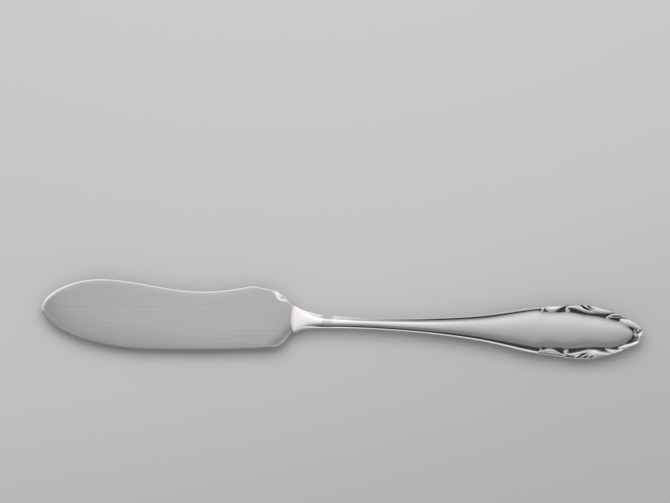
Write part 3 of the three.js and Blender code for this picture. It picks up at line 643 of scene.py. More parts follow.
# Painted shade dulls a band of the shells just past the joint with the bolster
JOINT_SHADE, JOINT_SHADE_PLACE, JOINT_SHADE_FADE = 0.23, 1 * MM, (0.75 * MM, 2.25 * MM)


class HandleForm:
    """The handle's surface as a height over its middle plane, at x from the bolster and y from the axis."""

    def __init__(self, handle):
        self.handle = handle
        self.taper_length = HANDLE_LENGTH - handle.border_length
        self.border_half = HANDLE_WIDTH / 2 * CROWN[0][1]
        self.neck_half = handle.neck_width / 2
        self.dome_end = HANDLE_LENGTH - DOME_END_MARGIN
        self.field = smooth_line(FIELD)
        self.swell = smooth_line(SWELL)
        self.outline = self.outline_points()

    def outline_points(self):
        """One side of the outline, from the bolster to the very end."""
        ends = (self.neck_half, self.border_half)
        side = [(share * self.taper_length, mix(ends, grow)) for share, grow in TAPER]
        for share, half in CROWN[1:]:
            side.append((self.taper_length + share * self.handle.border_length, half * HANDLE_WIDTH / 2))
        mirrored = [(x, -y) for x, y in reversed(side[:-1])]
        return smooth_path(side + mirrored, 2 * OUTLINE_STEPS)[:OUTLINE_STEPS + 1]

    def rows(self):
        """Places along the outline, close together in the border."""
        steps = np.linalg.norm(np.diff(self.outline, axis=0), axis=1)
        spacing = np.where(self.outline[1:, 0] < self.taper_length - BORDER_LEAD, TAPER_STEP, BORDER_STEP)
        walked = np.concatenate([[0], np.cumsum(steps / spacing)])
        wide = self.outline[:, 1] > LEAST_HALF
        total = walked[wide][-1]
        places = np.linspace(0, total, int(total) + 1)
        return np.stack([np.interp(places, walked, self.outline[:, i]) for i in (0, 1)], 1)

    def width_share(self, half):
        """How far the half width has grown from the neck's to the border's."""
        return np.clip((half - self.neck_half) / (self.border_half - self.neck_half), 0, 1)

    def floor(self, x, half):
        """Height of the groove's floor and of the border's ground."""
        return np.where(x < self.taper_length, mix(GROOVE_FLOOR, self.width_share(half)), GROOVE_FLOOR[1])

    def field_half(self, x, half):
        """Half the dome's width."""
        share = self.width_share(half)
        inside = half - mix(THREAD_WIDTH, share) - mix(GROOVE_WIDTH, share)
        reach = (x - self.taper_length) / (self.dome_end - self.taper_length)
        border = self.field(reach) * HANDLE_WIDTH / 2
        return np.where(x < self.taper_length, inside, np.minimum(border, inside))

    def dome_top(self, x, half):
        """Height of the dome on the axis."""
        floor = self.floor(x, half)
        full = mix((self.handle.neck_thickness, HANDLE_HEIGHT), self.swell(x / HANDLE_LENGTH)) / 2
        close = np.clip((x - self.dome_end) / DOME_END_LENGTH + 1, 0, 1)
        return floor + (full - floor) * np.sqrt(1 - close * close)

    def dome(self, x, y, half):
        """Height of the dome, or of the ground beside it."""
        floor = self.floor(x, half)
        across = np.minimum(np.abs(y) / np.maximum(self.field_half(x, half), LEAST_FIELD), 1)
        return floor + (self.dome_top(x, half) - floor) * (1 - across * across) ** DOME_FULLNESS

    def plain(self, x, y, half, edge):
        """Dome and edge thread, without the scrolls."""
        share = self.width_share(half)
        across = edge / mix(THREAD_WIDTH, share)
        top = 1 - THREAD_TOP_FALL * across / THREAD_TOP_SHARE
        inner = (1 - THREAD_TOP_FALL) * (1 - across) / (1 - THREAD_TOP_SHARE)
        rise = mix(THREAD_RISE, share) * np.clip(np.minimum(top, inner), 0, 1)
        rise = rise * (x < self.taper_length + THREAD_OVERLAP)
        return np.maximum(self.dome(x, y, half), self.floor(x, half) + rise)

    def side_wall(self, x, edge):
        """The height that the rolled rim allows at a distance from the outline."""
        width = mix(EDGE_CURL, ease(x, self.taper_length - CURL_CHANGE, self.taper_length))
        curl = 1 - np.minimum(edge / width, 1)
        return EDGE_HEIGHT * np.sqrt(1 - curl * curl) + WALL_SLOPE * np.maximum(edge - width, 0)

    def hollow(self, x, y, half):
        """The inner side of the stamped sheet, or the seam's flat beside the hollow."""
        wide = self.field_half(x, half) - self.handle.wall / 2
        inside = (np.abs(y) < wide) & (x < self.dome_end - HOLLOW_END_WALL)
        return np.where(inside, self.dome(x, y, half) - self.handle.wall, SEAM)


def joint_shade(x):
    """Painted shade beside the joint with the bolster, at x from it."""
    return JOINT_SHADE * (1 - ease(np.abs(x - JOINT_SHADE_PLACE), *JOINT_SHADE_FADE))


def shell_marks(form, x, y, half, edge, offset):
    """What the striking and the silver's finish need to know at each place of a shell."""
    border = ease(x, form.taper_length, form.taper_length + THREAD_OVERLAP)
    thread = mix(THREAD_WIDTH, form.width_share(half))
    inside = form.field_half(x, half) - np.abs(y - offset)
    outside = np.maximum(np.maximum(-inside, x - form.dome_end), 0)
    level = ease(x, HANDLE_LENGTH - LEVEL_START, HANDLE_LENGTH - LEVEL_FULL)
    back = (y > 0).astype(float)
    # Tarnish and painted shade begin sooner on the edge's side, where the groove is darkened as painted shade
    darkened = ease(x, mix(TARNISH_AND_SHADE_START, back), mix(TARNISH_AND_SHADE_FULL, back))
    # Painted shade at the dome's foot, deeper on the edge's side
    foot = mix(FOOT_SHADE, back) * (1 - ease(inside, 0, FOOT_SHADE_WIDTH)) * (inside > 0)
    grown = ease(x - form.taper_length, *SPREAD_GROWTH)
    return {
        "floor": form.floor(x, half),
        "wall": form.side_wall(x, edge),
        "border": border,
        "offset": np.broadcast_to(offset, y.shape),
        "lean": mix((mix(LEAN, outside / (outside + edge + LEAN_MARGIN)), 1), level),
        "rim": darkened * mix((ease(edge / thread, *THREAD_FOOT), ease(edge, *RIM_FOOT)), border),
        # Painted shade at the dome's foot and beside the joint
        "stain": np.maximum(darkened * foot * (1 - border * back), joint_shade(x)),
        # The darkening reaches higher on the back's side in the border
        "spread": mix(DARKENING_SPREAD, back * grown * (1 - ease(inside, *SPREAD_EDGE))),
        "fresh": 1 - ease(x, 0, NECK_SHINE),
        "satin": ease(x, SATIN_START, SATIN_FULL) * ease(inside, 0, SATIN_MARGIN),
    }


def shell_blank(form):
    """The shell before its scrolls are struck, with what the striking needs kept on its vertices."""
    rows = form.rows()
    along, halves = rows[:, :1], rows[:, 1:]
    offset = STRIKE_OFFSET((along - form.taper_length) / MM) * MM
    sides = []
    for across in (across_places(SHELL_ACROSS), across_places(UNDER_ACROSS)[1:-1]):
        y = halves * across
        sides.append((np.broadcast_to(along, y.shape), y, np.broadcast_to(halves, y.shape)))
    (x, y, half), (x_under, y_under, half_under) = sides
    edge, _ = nearest_on(form.outline[::OUTLINE_STRIDE], x, np.abs(y), RIM_REACH)
    edge[:, [0, -1]] = 0
    marks = shell_marks(form, x, y, half, edge, offset)
    plain = np.maximum(np.minimum(form.plain(x, y - offset, half, edge), marks["wall"]), SEAM)
    below = np.maximum(form.hollow(x_under, y_under, half_under), SEAM)
    below = np.minimum(below, form.dome(x_under, y_under - offset, half_under) - form.handle.wall / 2)
    below[-1] = SEAM
    top = np.stack([x, y, plain], 2).reshape(-1, 3)
    bottom = np.stack([x_under, y_under, below], 2).reshape(-1, 3)
    count, wide = y.shape
    narrow = y_under.shape[1]

    def under_row(r):
        start = count * wide + r * narrow
        return [r * wide, *range(start, start + narrow), r * wide + wide - 1]

    faces = loft_faces(count, wide, closed=False)
    for r in range(count - 1):
        a, b = under_row(r), under_row(r + 1)
        faces += [(a[i + 1], a[i], b[i], b[i + 1]) for i in range(narrow + 1)]
    for r in (0, count - 1):
        faces.append((*range(r * wide, r * wide + wide), *reversed(under_row(r)[1:-1])))
    mesh = mesh_of("shell_blank", np.concatenate([top, bottom]), faces, SHELL_SHARP_ANGLE)
    for name, values in marks.items():
        keep(mesh, name, np.concatenate([values.reshape(-1), np.zeros(len(bottom))]))
    return mesh


def scroll_paths(form):
    """The scrolls' ridges as lines on the border's plan, with their width and height on the points."""
    handle = form.handle
    corners, edges, halves, reliefs, owners = [], [], [], [], []
    for owner, stroke in enumerate((*SCROLLS.values(), *LONE_SCROLLS.values())):
        first = len(corners)
        for along, across, half, relief in smooth_path(stroke, SCROLL_POINTS):
            corners.append((form.taper_length + along * handle.border_length, across * HANDLE_WIDTH / 2, 0))
            halves.append(half * handle.scroll_width / 2)
            reliefs.append(relief * handle.relief)
            owners.append(owner)
        edges += [(i, i + 1) for i in range(first, len(corners) - 1)]
    mesh = bpy.data.meshes.new("scroll_paths")
    mesh.from_pydata(corners, edges, [])
    for name, kind, values in (
        ("half", "FLOAT", halves), ("relief", "FLOAT", reliefs), ("scroll", "INT", owners)):
        mesh.attributes.new(name, kind, "POINT").data.foreach_set("value", values)
    return linked("scroll_paths", mesh)


# Inputs of a node that maps one range of values to another, and of one that compares whole numbers
RANGE = ("Value", "From Min", "From Max", "To Min", "To Max")
WHOLE_A, WHOLE_B = 2, 3


def striking_tree():
    """Geometry Nodes that strike scrolls into a blank: each ridge raises or cuts what lies near it."""
    tree = bpy.data.node_groups.new("Struck scrolls", "GeometryNodeTree")
    sockets = {}
    for name, kind in (
        ("Geometry", "Geometry"), ("Scroll paths", "Object"), ("Scrolls", "Int"), ("Mirrored scrolls", "Int"),
        ("Foot", "Float"), ("Tarnish depth", "Float"), ("Material", "Material"),
    ):
        socket = tree.interface.new_socket(name, in_out="INPUT", socket_type=f"NodeSocket{kind}")
        sockets[name] = socket.identifier
    tree.interface.new_socket("Geometry", in_out="OUTPUT", socket_type="NodeSocketGeometry")
    given = add_node(tree, "NodeGroupInput").outputs
    marks = {}
    for name in (
        "offset", "half", "relief", "struck", "floor", "wall",
        "lean", "border", "spread", "rim", "stain", "scroll",
    ):
        kind = "INT" if name == "scroll" else "FLOAT"
        mark = add_node(tree, "GeometryNodeInputNamedAttribute", {"Name": name}, data_type=kind)
        marks[name] = mark.outputs["Attribute"]
    position = add_node(tree, "GeometryNodeInputPosition").outputs[0]
    x, y, z = add_node(tree, "ShaderNodeSeparateXYZ", {0: position}).outputs

    # One scroll after another raises or cuts the ground near its ridge
    blank = add_node(tree, "GeometryNodeStoreNamedAttribute", {
        "Geometry": given["Geometry"], "Name": "struck", "Value": 0.0}, data_type="FLOAT", domain="POINT")
    enter = add_node(tree, "GeometryNodeRepeatInput")
    leave = add_node(tree, "GeometryNodeRepeatOutput")
    enter.pair_with_output(leave)
    feed(tree, enter, {"Iterations": given["Scrolls"], "Geometry": blank.outputs[0]})
    turn = enter.outputs["Iteration"]
    aside = add_node(tree, "ShaderNodeMath", {0: y, 1: marks["offset"]}, operation="SUBTRACT").outputs[0]
    either = add_node(tree, "ShaderNodeMath", {0: aside}, operation="ABSOLUTE").outputs[0]
    twin = add_node(tree, "FunctionNodeCompare", {
        WHOLE_A: turn, WHOLE_B: given["Mirrored scrolls"]}, data_type="INT", operation="LESS_THAN")
    folded = add_node(tree, "GeometryNodeSwitch", {
        "Switch": twin.outputs[0], "False": aside, "True": either}, input_type="FLOAT")
    plan = add_node(tree, "ShaderNodeCombineXYZ", {"X": x, "Y": folded.outputs[0]}).outputs[0]
    paths = add_node(tree, "GeometryNodeObjectInfo", {"Object": given["Scroll paths"]}).outputs["Geometry"]
    chosen = add_node(tree, "FunctionNodeCompare", {
        WHOLE_A: marks["scroll"], WHOLE_B: turn}, data_type="INT", operation="EQUAL").outputs[0]
    ridge = add_node(tree, "GeometryNodeSeparateGeometry", {
        "Geometry": paths, "Selection": chosen}, domain="POINT").outputs["Selection"]
    near = add_node(tree, "GeometryNodeProximity", {
        0: ridge, "Sample Position": plan}, target_element="EDGES").outputs["Distance"]
    index = add_node(tree, "GeometryNodeSampleNearest", {
        "Geometry": ridge, "Sample Position": plan}, domain="POINT").outputs[0]
    half, relief = [
        add_node(tree, "GeometryNodeSampleIndex", {
            "Geometry": ridge, "Value": marks[name], "Index": index}, data_type="FLOAT").outputs[0]
        for name in ("half", "relief")]
    values = {**marks, "z": z, "near": near, "half": half, "relief": relief}
    values.update({name: given[name] for name in ("Foot", "Tarnish depth")})
    # Each row names a result, an operation and its terms: first a scroll's crest, which raises or cuts what
    # is struck so far, then the height over the ground within the rolled rim, and last the tarnish's reach
    for name, operation, *terms in (
        ("foot", "MULTIPLY", "half", "Foot"),
        ("reach", "DIVIDE", "near", "foot"),
        ("fall", "POWER", "reach", SCROLL_FLATNESS),
        ("left", "SUBTRACT", 1.0, "fall"),
        ("crest", "MAXIMUM", "left", 0.0),
        ("change", "MULTIPLY", "relief", "crest"),
        ("raised", "MAXIMUM", "struck", "change"),
        ("cut", "MINIMUM", "change", 0.0),
        ("carved", "ADD", "raised", "cut"),
        ("leaning", "MULTIPLY", "struck", "lean"),
        ("grown", "MULTIPLY", "leaning", "border"),
        ("height", "ADD", "floor", "grown"),
        ("within", "MINIMUM", "height", "wall"),
        ("level", "MAXIMUM", "z", "within"),
        ("outer", "GREATER_THAN", "wall", 0.0),
        ("over", "SUBTRACT", "z", "floor"),
        ("worn off", "MULTIPLY", "Tarnish depth", "spread"),
    ):
        inputs = {i: values.get(term, term) for i, term in enumerate(terms)}
        values[name] = add_node(tree, "ShaderNodeMath", inputs, operation=operation).outputs[0]
    struck = add_node(tree, "GeometryNodeStoreNamedAttribute", {
        "Geometry": enter.outputs["Geometry"], "Name": "struck", "Value": values["carved"]},
        data_type="FLOAT", domain="POINT")
    feed(tree, leave, {"Geometry": struck.outputs[0]})

    place = add_node(tree, "ShaderNodeCombineXYZ", {"X": x, "Y": y, "Z": values["level"]}).outputs[0]
    moved = add_node(tree, "GeometryNodeSetPosition", {
        "Geometry": leave.outputs["Geometry"], "Selection": values["outer"], "Position": place})
    wear = (values["over"], 0.0, values["worn off"], 1.0, 0.0)
    dark = add_node(tree, "ShaderNodeMapRange", zip(RANGE, wear), interpolation_type="SMOOTHSTEP").outputs[0]
    # Tarnish in the recesses, with the painted shade kept on the vertices laid over it
    deep = add_node(tree, "ShaderNodeMath", {0: dark, 1: marks["rim"]}, operation="MULTIPLY").outputs[0]
    tarnish = add_node(tree, "ShaderNodeMath", {0: deep, 1: marks["stain"]}, operation="MAXIMUM").outputs[0]
    stained = add_node(tree, "GeometryNodeStoreNamedAttribute", {
        "Geometry": moved.outputs[0], "Name": "tarnish", "Value": tarnish}, data_type="FLOAT", domain="POINT")
    real = add_node(tree, "GeometryNodeRealizeInstances", {"Geometry": stained.outputs[0]})
    made = add_node(tree, "GeometryNodeSetMaterial", {
        "Geometry": real.outputs[0], "Material": given["Material"]})
    add_node(tree, "NodeGroupOutput", {"Geometry": made.outputs[0]})
    return tree, sockets


class KNIFE_OT_shells(bpy.types.Operator):
    """Make the two stamped shells of the handle"""

    bl_idname = "butter_knife.shells"
    bl_label = "Handle Shells"

    def execute(self, context):
        handle = context.scene.knife_handle
        form = HandleForm(handle)
        silver = worn_silver(handle, context.scene.knife_bolster)
        paths = scroll_paths(form)
        blank = linked("blank", shell_blank(form))
        tree, sockets = striking_tree()
        strike = blank.modifiers.new("Strike", "NODES")
        strike.node_group = tree
        for name, value in (
            ("Scroll paths", paths), ("Scrolls", len(SCROLLS) + len(LONE_SCROLLS)),
            ("Mirrored scrolls", len(SCROLLS)), ("Foot", SCROLL_FOOT),
            ("Tarnish depth", handle.tarnish_depth), ("Material", silver),
        ):
            strike[sockets[name]] = value
        front = evaluated_mesh(blank)
        bpy.data.objects.remove(paths)
        back = front.copy()
        back.transform(Matrix.Rotation(math.pi, 4, "X"))
        place = Matrix.Translation((HANDLE_START, AXIS_Y, MIDDLE_Z))
        for name, mesh in (("front_shell", front), ("back_shell", back)):
            mesh.transform(place)
            show(name, mesh, silver, "stamped_silver", f"handle_{name}")
        return {"FINISHED"}


# Bolster: its flare, its offset towards the back and its thickness, along its length from the lip
FLARE = smooth_line((
    (0, 1), (0.055, 0.955), (0.233, 0.6), (0.394, 0.365), (0.555, 0.2), (0.8, 0.05), (1, 0)))
OFFSET = smooth_line(((0, 1), (0.233, 0.72), (0.394, 0.6), (0.555, 0.44), (0.8, 0.1), (1, 0)))
THICKEN = smooth_line(((0, 0), (0.3, 0.45), (0.6, 0.82), (1, 1)))
LIP_SQUARENESS, LIP_SIDE_SHARE, LIP_FADE = 3.2, 0.3, 3
# Painted shade on the lip where it meets the blade's heel: its strength and where it fades
LIP_SHADE, LIP_SHADE_START, LIP_SHADE_END = 0.3, 0.3 * MM, 1.2 * MM
LIP_STEPS, FLARE_STEPS, BOLSTER_ACROSS = 10, 60, 41
SLOT_CLEARANCE = 0.16 * MM


def bolster_ring(form, bolster, length, x, inset):
    """A closed section of the bolster at x from the lip, drawn in by inset where the rim is rounded."""
    share = x / length
    mouth = form.outline[0, 1]
    half = mix((mouth, bolster.lip_width / 2), FLARE(share)) - inset * LIP_SIDE_SHARE
    grow = THICKEN(share)
    neck_top = float(form.dome_top(np.array(0.0), np.array(mouth)))
    thick = mix((BLADE_THICKNESS / 2 + bolster.lip_height, neck_top), grow) - inset
    places = across_places(BOLSTER_ACROSS)
    lip = thick * (1 - np.abs(places) ** LIP_SQUARENESS) ** (1 / LIP_SQUARENESS)
    across = places * mouth
    zero, wide = np.zeros_like(across), np.full_like(across, mouth)
    edge = mouth - np.abs(across)
    neck = np.minimum(form.plain(zero, across, wide, edge), form.side_wall(zero, edge)) * thick / neck_top
    neck[[0, -1]] = 0
    y = bolster.lip_rise * OFFSET(share) + places * half
    forward = lip_face(y, bolster) * (1 - share) ** LIP_FADE
    upper = np.column_stack([x + forward, y, mix((lip, neck), grow ** 2)])
    lower = upper[1:-1][::-1] * (1, 1, -1)
    return np.concatenate([upper, lower])


def bolster_shade(mesh, form, bolster, length):
    """Painted shade that runs on from the shells' groove on one side, and darkens the lip and the joint."""
    places = np.empty(len(mesh.vertices) * 3)
    mesh.vertices.foreach_get("co", places)
    x, y, z = places.reshape(-1, 3).T
    share = np.clip(x / length, 0, 1)
    half = mix((form.outline[0, 1], bolster.lip_width / 2), FLARE(share))
    inside = half + (y - bolster.lip_rise * OFFSET(share)) * np.where(z < 0, -1, 1)
    thread, foot = THREAD_WIDTH[0], THREAD_WIDTH[0] + GROOVE_WIDTH[0]
    band = ease(inside / thread, *THREAD_FOOT) * (1 - ease(inside, foot, foot + FOOT_SHADE_WIDTH))
    # Painted shade along the groove on the edge's side, beside the joint and on the lip
    groove = ease(x - length, TARNISH_AND_SHADE_START[0], TARNISH_AND_SHADE_FULL[0]) * band
    lip = LIP_SHADE * (1 - ease(x - lip_face(y, bolster), LIP_SHADE_START, LIP_SHADE_END))
    keep(mesh, "tarnish", np.maximum(np.maximum(groove, joint_shade(x - length)), lip))


class KNIFE_OT_bolster(bpy.types.Operator):
    """Make the bolster that joins blade and handle"""

    bl_idname = "butter_knife.bolster"
    bl_label = "Bolster"

    def execute(self, context):
        settings = context.scene
        blade, bolster, form = settings.knife_blade, settings.knife_bolster, HandleForm(settings.knife_handle)
        length = BOLSTER_END - BLADE_TIP - blade.length
        turns = [i / LIP_STEPS * math.pi / 2 for i in range(LIP_STEPS)]
        arc = [(1 - math.cos(turn), 1 - math.sin(turn)) for turn in turns]
        places = [(bolster.lip_round * x, bolster.lip_round * inset) for x, inset in arc]
        places += [(x, 0) for x in np.linspace(bolster.lip_round, length, FLARE_STEPS + 1)]
        rings = [bolster_ring(form, bolster, length, x, inset) for x, inset in places]
        count = len(rings[0])
        last = len(rings) * count
        faces = loft_faces(len(rings), count) + [tuple(range(count)), tuple(range(last - count, last))]
        body = mesh_of("bolster_body", np.concatenate(rings), faces)
        mesh = boolean(body, tang_mesh("slot", blade, bolster, SLOT_CLEARANCE), "DIFFERENCE")
        bolster_shade(mesh, form, bolster, length)
        silver = polished_silver(bolster, settings.knife_handle)
        show("polished_bolster", place_blade_frame(mesh, blade), silver, "polished_silver", "bolster")
        return {"FINISHED"}


class KNIFE_OT_core(bpy.types.Operator):
    """Give the cement core inside the handle its finish"""

    bl_idname = "butter_knife.core"
    bl_label = "Handle Core"

    def execute(self, context):
        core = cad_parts["handle_filler"]
        if not core.material_slots:
            raise RuntimeError("the handle's core has no material slot")
        for slot in core.material_slots:
            slot.material = cast_cement()
        return {"FINISHED"}


# Materials
# Most of a noise texture's values lie in this range
NOISE = (0.3, 0.7)
# Sockets of a Mix node for each kind of value: the first, the second and the mixture
COLOUR_A, COLOUR_B, COLOUR_MIXED = 6, 7, 2
MIX_SOCKETS = {"RGBA": (COLOUR_A, COLOUR_B, COLOUR_MIXED), "FLOAT": (2, 3, 0)}
# Real brush lines are too fine to show, so they are drawn coarser, and this many times as long as wide
STREAK_LENGTH, STREAK_DETAIL = 60, 4.0
STREAK_TONES, STREAK_ROUGHNESS, POLISHED_ROUGHNESS = (0.94, 1.04), (0.46, 0.38), 0.15
STREAK_BUMP, STREAK_DEPTH = 0.1, 0.02 * MM
# The haze of wiping and of fine scratches is also drawn coarser than it is, so that it shows
HAZE_SIZE, HAZE_DETAIL, WIPED_ROUGHNESS, TARNISH_ROUGHNESS = 2 * MM, 3.0, (0.1, 0.16), 0.55
SCRATCH_SIZE, SCRATCH_DETAIL, SCRATCH_ROUGHNESS, BRIGHT_ROUGHNESS = 0.6 * MM, 4.0, (0.36, 0.44), 0.17
CEMENT_DARK, CEMENT_LIGHT, CEMENT_ROUGHNESS = "#7d766a", "#a19a8c", 0.9
GRAIN_SIZE, GRAIN_DETAIL, GRAIN_BUMP, GRAIN_DEPTH = 0.8 * MM, 6.0, 0.5, 0.1 * MM
# Painted shade: the paper's tone falls along this direction, between these places
PAPER_SHADE_DIRECTION, PAPER_ENDS, PAPER_TONES = (-0.4, 1, 0), (-0.06, 0.01), (0.91, 1.03)
PAPER_ROUGHNESS, PAPER_SPECULAR = 0.85, 0.2


def new_material(name):
    """A material with its node tree, its shader and the coordinates that its textures use."""
    material = bpy.data.materials.new(name)
    material.use_nodes = True
    tree = material.node_tree
    coordinates = add_node(tree, "ShaderNodeTexCoord").outputs["Object"]
    return material, tree, tree.nodes["Principled BSDF"], coordinates


def opaque(colour):
    """A colour with full alpha, as colour sockets take it."""
    return (*colour, 1)


def layered(tree, kind, base, *layers):
    """A colour or a plain value with others laid over it, each as far as the attribute beside it says."""
    first, second, mixture = MIX_SOCKETS[kind]
    for name, value in layers:
        share = add_node(tree, "ShaderNodeAttribute", attribute_name=name).outputs["Fac"]
        mixed = add_node(tree, "ShaderNodeMix", {"Factor": share, first: base, second: value}, data_type=kind)
        base = mixed.outputs[mixture]
    return base


def brushed_steel(blade):
    """Stainless steel brushed lengthwise: mid grey, soft streaks along the blade and a blurred reflection,
    with painted shade towards the edge, the tip and in the shoulder's hollow, and a painted highlight on the
    back's shoulder.
    """
    material, tree, shader, coordinates = new_material("satin_brushed_stainless_steel")
    across = 1 / blade.brush_pitch
    stretched = add_node(tree, "ShaderNodeMapping", {
        "Vector": coordinates, "Scale": (1 / (STREAK_LENGTH * blade.brush_pitch), across, across)})
    streaks = add_node(tree, "ShaderNodeTexNoise", {
        "Vector": stretched.outputs[0], "Scale": 1.0, "Detail": STREAK_DETAIL}).outputs[0]
    tone = add_node(tree, "ShaderNodeMapRange", zip(RANGE, (streaks, *NOISE, *STREAK_TONES)))
    satin = add_node(tree, "ShaderNodeMapRange", zip(RANGE, (streaks, *NOISE, *STREAK_ROUGHNESS)))
    # The darker steel is painted shade towards the edge, at the tip and in the shoulder's hollow
    steel_with_shade = layered(tree, "RGBA", opaque(blade.steel), ("wear", opaque(blade.worn)))
    brushed = add_node(tree, "ShaderNodeMix", {
        "Factor": 1.0, COLOUR_A: steel_with_shade, COLOUR_B: tone.outputs[0]}, data_type="RGBA", blend_type="MULTIPLY")
    colour = layered(
        tree, "RGBA", brushed.outputs[COLOUR_MIXED],
        ("polish", opaque(blade.polished)), ("gleam", opaque(blade.painted_highlight_steel)))
    rough = layered(tree, "FLOAT", satin.outputs[0], ("polish", POLISHED_ROUGHNESS))
    bump = add_node(tree, "ShaderNodeBump", {
        "Height": streaks, "Strength": STREAK_BUMP, "Distance": STREAK_DEPTH})
    feed(tree, shader, {"Metallic": 1, "Base Color": colour, "Roughness": rough, "Normal": bump.outputs[0]})
    return material


def polished_silver(bolster, handle):
    """Polished silver plate: near mirror, hazed a little by wiping, and dark with painted shade at the lip,
    beside the joint and along the groove's run-on.
    """
    material, tree, shader, coordinates = new_material("polished_silver_plate")
    haze = add_node(tree, "ShaderNodeTexNoise", {
        "Vector": coordinates, "Scale": 1 / HAZE_SIZE, "Detail": HAZE_DETAIL})
    wiped = add_node(tree, "ShaderNodeMapRange", zip(RANGE, (haze.outputs[0], *NOISE, *WIPED_ROUGHNESS)))
    # The tarnish colour here paints shade at the lip, beside the joint and along the groove
    colour = layered(tree, "RGBA", opaque(bolster.silver), ("tarnish", opaque(handle.tarnish)))
    rough = layered(tree, "FLOAT", wiped.outputs[0], ("tarnish", TARNISH_ROUGHNESS))
    feed(tree, shader, {"Metallic": 1, "Base Color": colour, "Roughness": rough})
    return material


def worn_silver(handle, bolster):
    """Stamped silver in use: bright, hazed by scratches on the dome, dark with tarnish in the recesses and
    with painted shade at the dome's foot, along the neck's groove and beside the joint.
    """
    material, tree, shader, coordinates = new_material("worn_stamped_silver")
    wear = add_node(tree, "ShaderNodeTexNoise", {
        "Vector": coordinates, "Scale": 1 / SCRATCH_SIZE, "Detail": SCRATCH_DETAIL})
    haze = add_node(tree, "ShaderNodeMapRange", zip(RANGE, (wear.outputs[0], *NOISE, *SCRATCH_ROUGHNESS)))
    colour = layered(
        tree, "RGBA", opaque(handle.bright), ("fresh", opaque(bolster.silver)),
        ("satin", opaque(handle.satin)), ("tarnish", opaque(handle.tarnish)))
    rough = layered(
        tree, "FLOAT", BRIGHT_ROUGHNESS, ("satin", haze.outputs[0]), ("tarnish", TARNISH_ROUGHNESS))
    feed(tree, shader, {"Metallic": 1, "Base Color": colour, "Roughness": rough})
    return material


def cast_cement():
    """Handle cement cast round the tang: matt, warm grey and grainy."""
    material, tree, shader, coordinates = new_material("cast_handle_cement")
    grain = add_node(tree, "ShaderNodeTexNoise", {
        "Vector": coordinates, "Scale": 1 / GRAIN_SIZE, "Detail": GRAIN_DETAIL}).outputs[0]
    colour = add_node(tree, "ShaderNodeMix", {
        "Factor": grain, COLOUR_A: opaque(linear(CEMENT_DARK)), COLOUR_B: opaque(linear(CEMENT_LIGHT))},
        data_type="RGBA")
    bump = add_node(tree, "ShaderNodeBump", {
        "Height": grain, "Strength": GRAIN_BUMP, "Distance": GRAIN_DEPTH})
    feed(tree, shader, {
        "Base Color": colour.outputs[COLOUR_MIXED], "Roughness": CEMENT_ROUGHNESS, "Normal": bump.outputs[0]})
    return material


def grey_paper(stage):
    """Matt photographic paper: pale grey, with painted shade that makes it a little deeper in front and
    beside the handle.
    """
    material, tree, shader, coordinates = new_material("pale_grey_paper")
    along = add_node(tree, "ShaderNodeVectorMath", {0: coordinates, 1: PAPER_SHADE_DIRECTION}, operation="DOT_PRODUCT")
    fall = (along.outputs["Value"], *PAPER_ENDS, *PAPER_TONES)
    tone = add_node(tree, "ShaderNodeMapRange", zip(RANGE, fall))
    colour = add_node(tree, "ShaderNodeMix", {
        "Factor": 1.0, COLOUR_A: opaque(stage.floor), COLOUR_B: tone.outputs[0]},
        data_type="RGBA", blend_type="MULTIPLY")
    feed(tree, shader, {
        "Base Color": colour.outputs[COLOUR_MIXED], "Roughness": PAPER_ROUGHNESS,
        "Specular IOR Level": PAPER_SPECULAR})
    return material


# Stage
FLOOR_HALF = 3.0
FLOOR_CORNERS = ((-1, -1), (1, -1), (1, 1), (-1, 1))
# Brightness that metal mirrors, by the angle from overhead towards the back of the stage, in degrees
ROOM_LIGHT = (
    (-110, 0.06), (-88, 0.14), (-65, 0.55), (-33, 0.74), (0, 0.85), (30, 1.02), (66, 1.32), (90, 1.44),
    (110, 1.25))
# Its change from the blade's side to the handle's
ROOM_SIDES = (1.3, 0.7)
ROOM_AMBIENT, BACKDROP = 0.53, "#cccccc"
SOFTBOX_PLACE = (-0.03, 0.27, 0.45)
SOFTBOX_WIDTH, SOFTBOX_DEPTH, SOFTBOX_RADIANCE = 0.5, 0.36, 3.24
SENSOR_WIDTH = 36


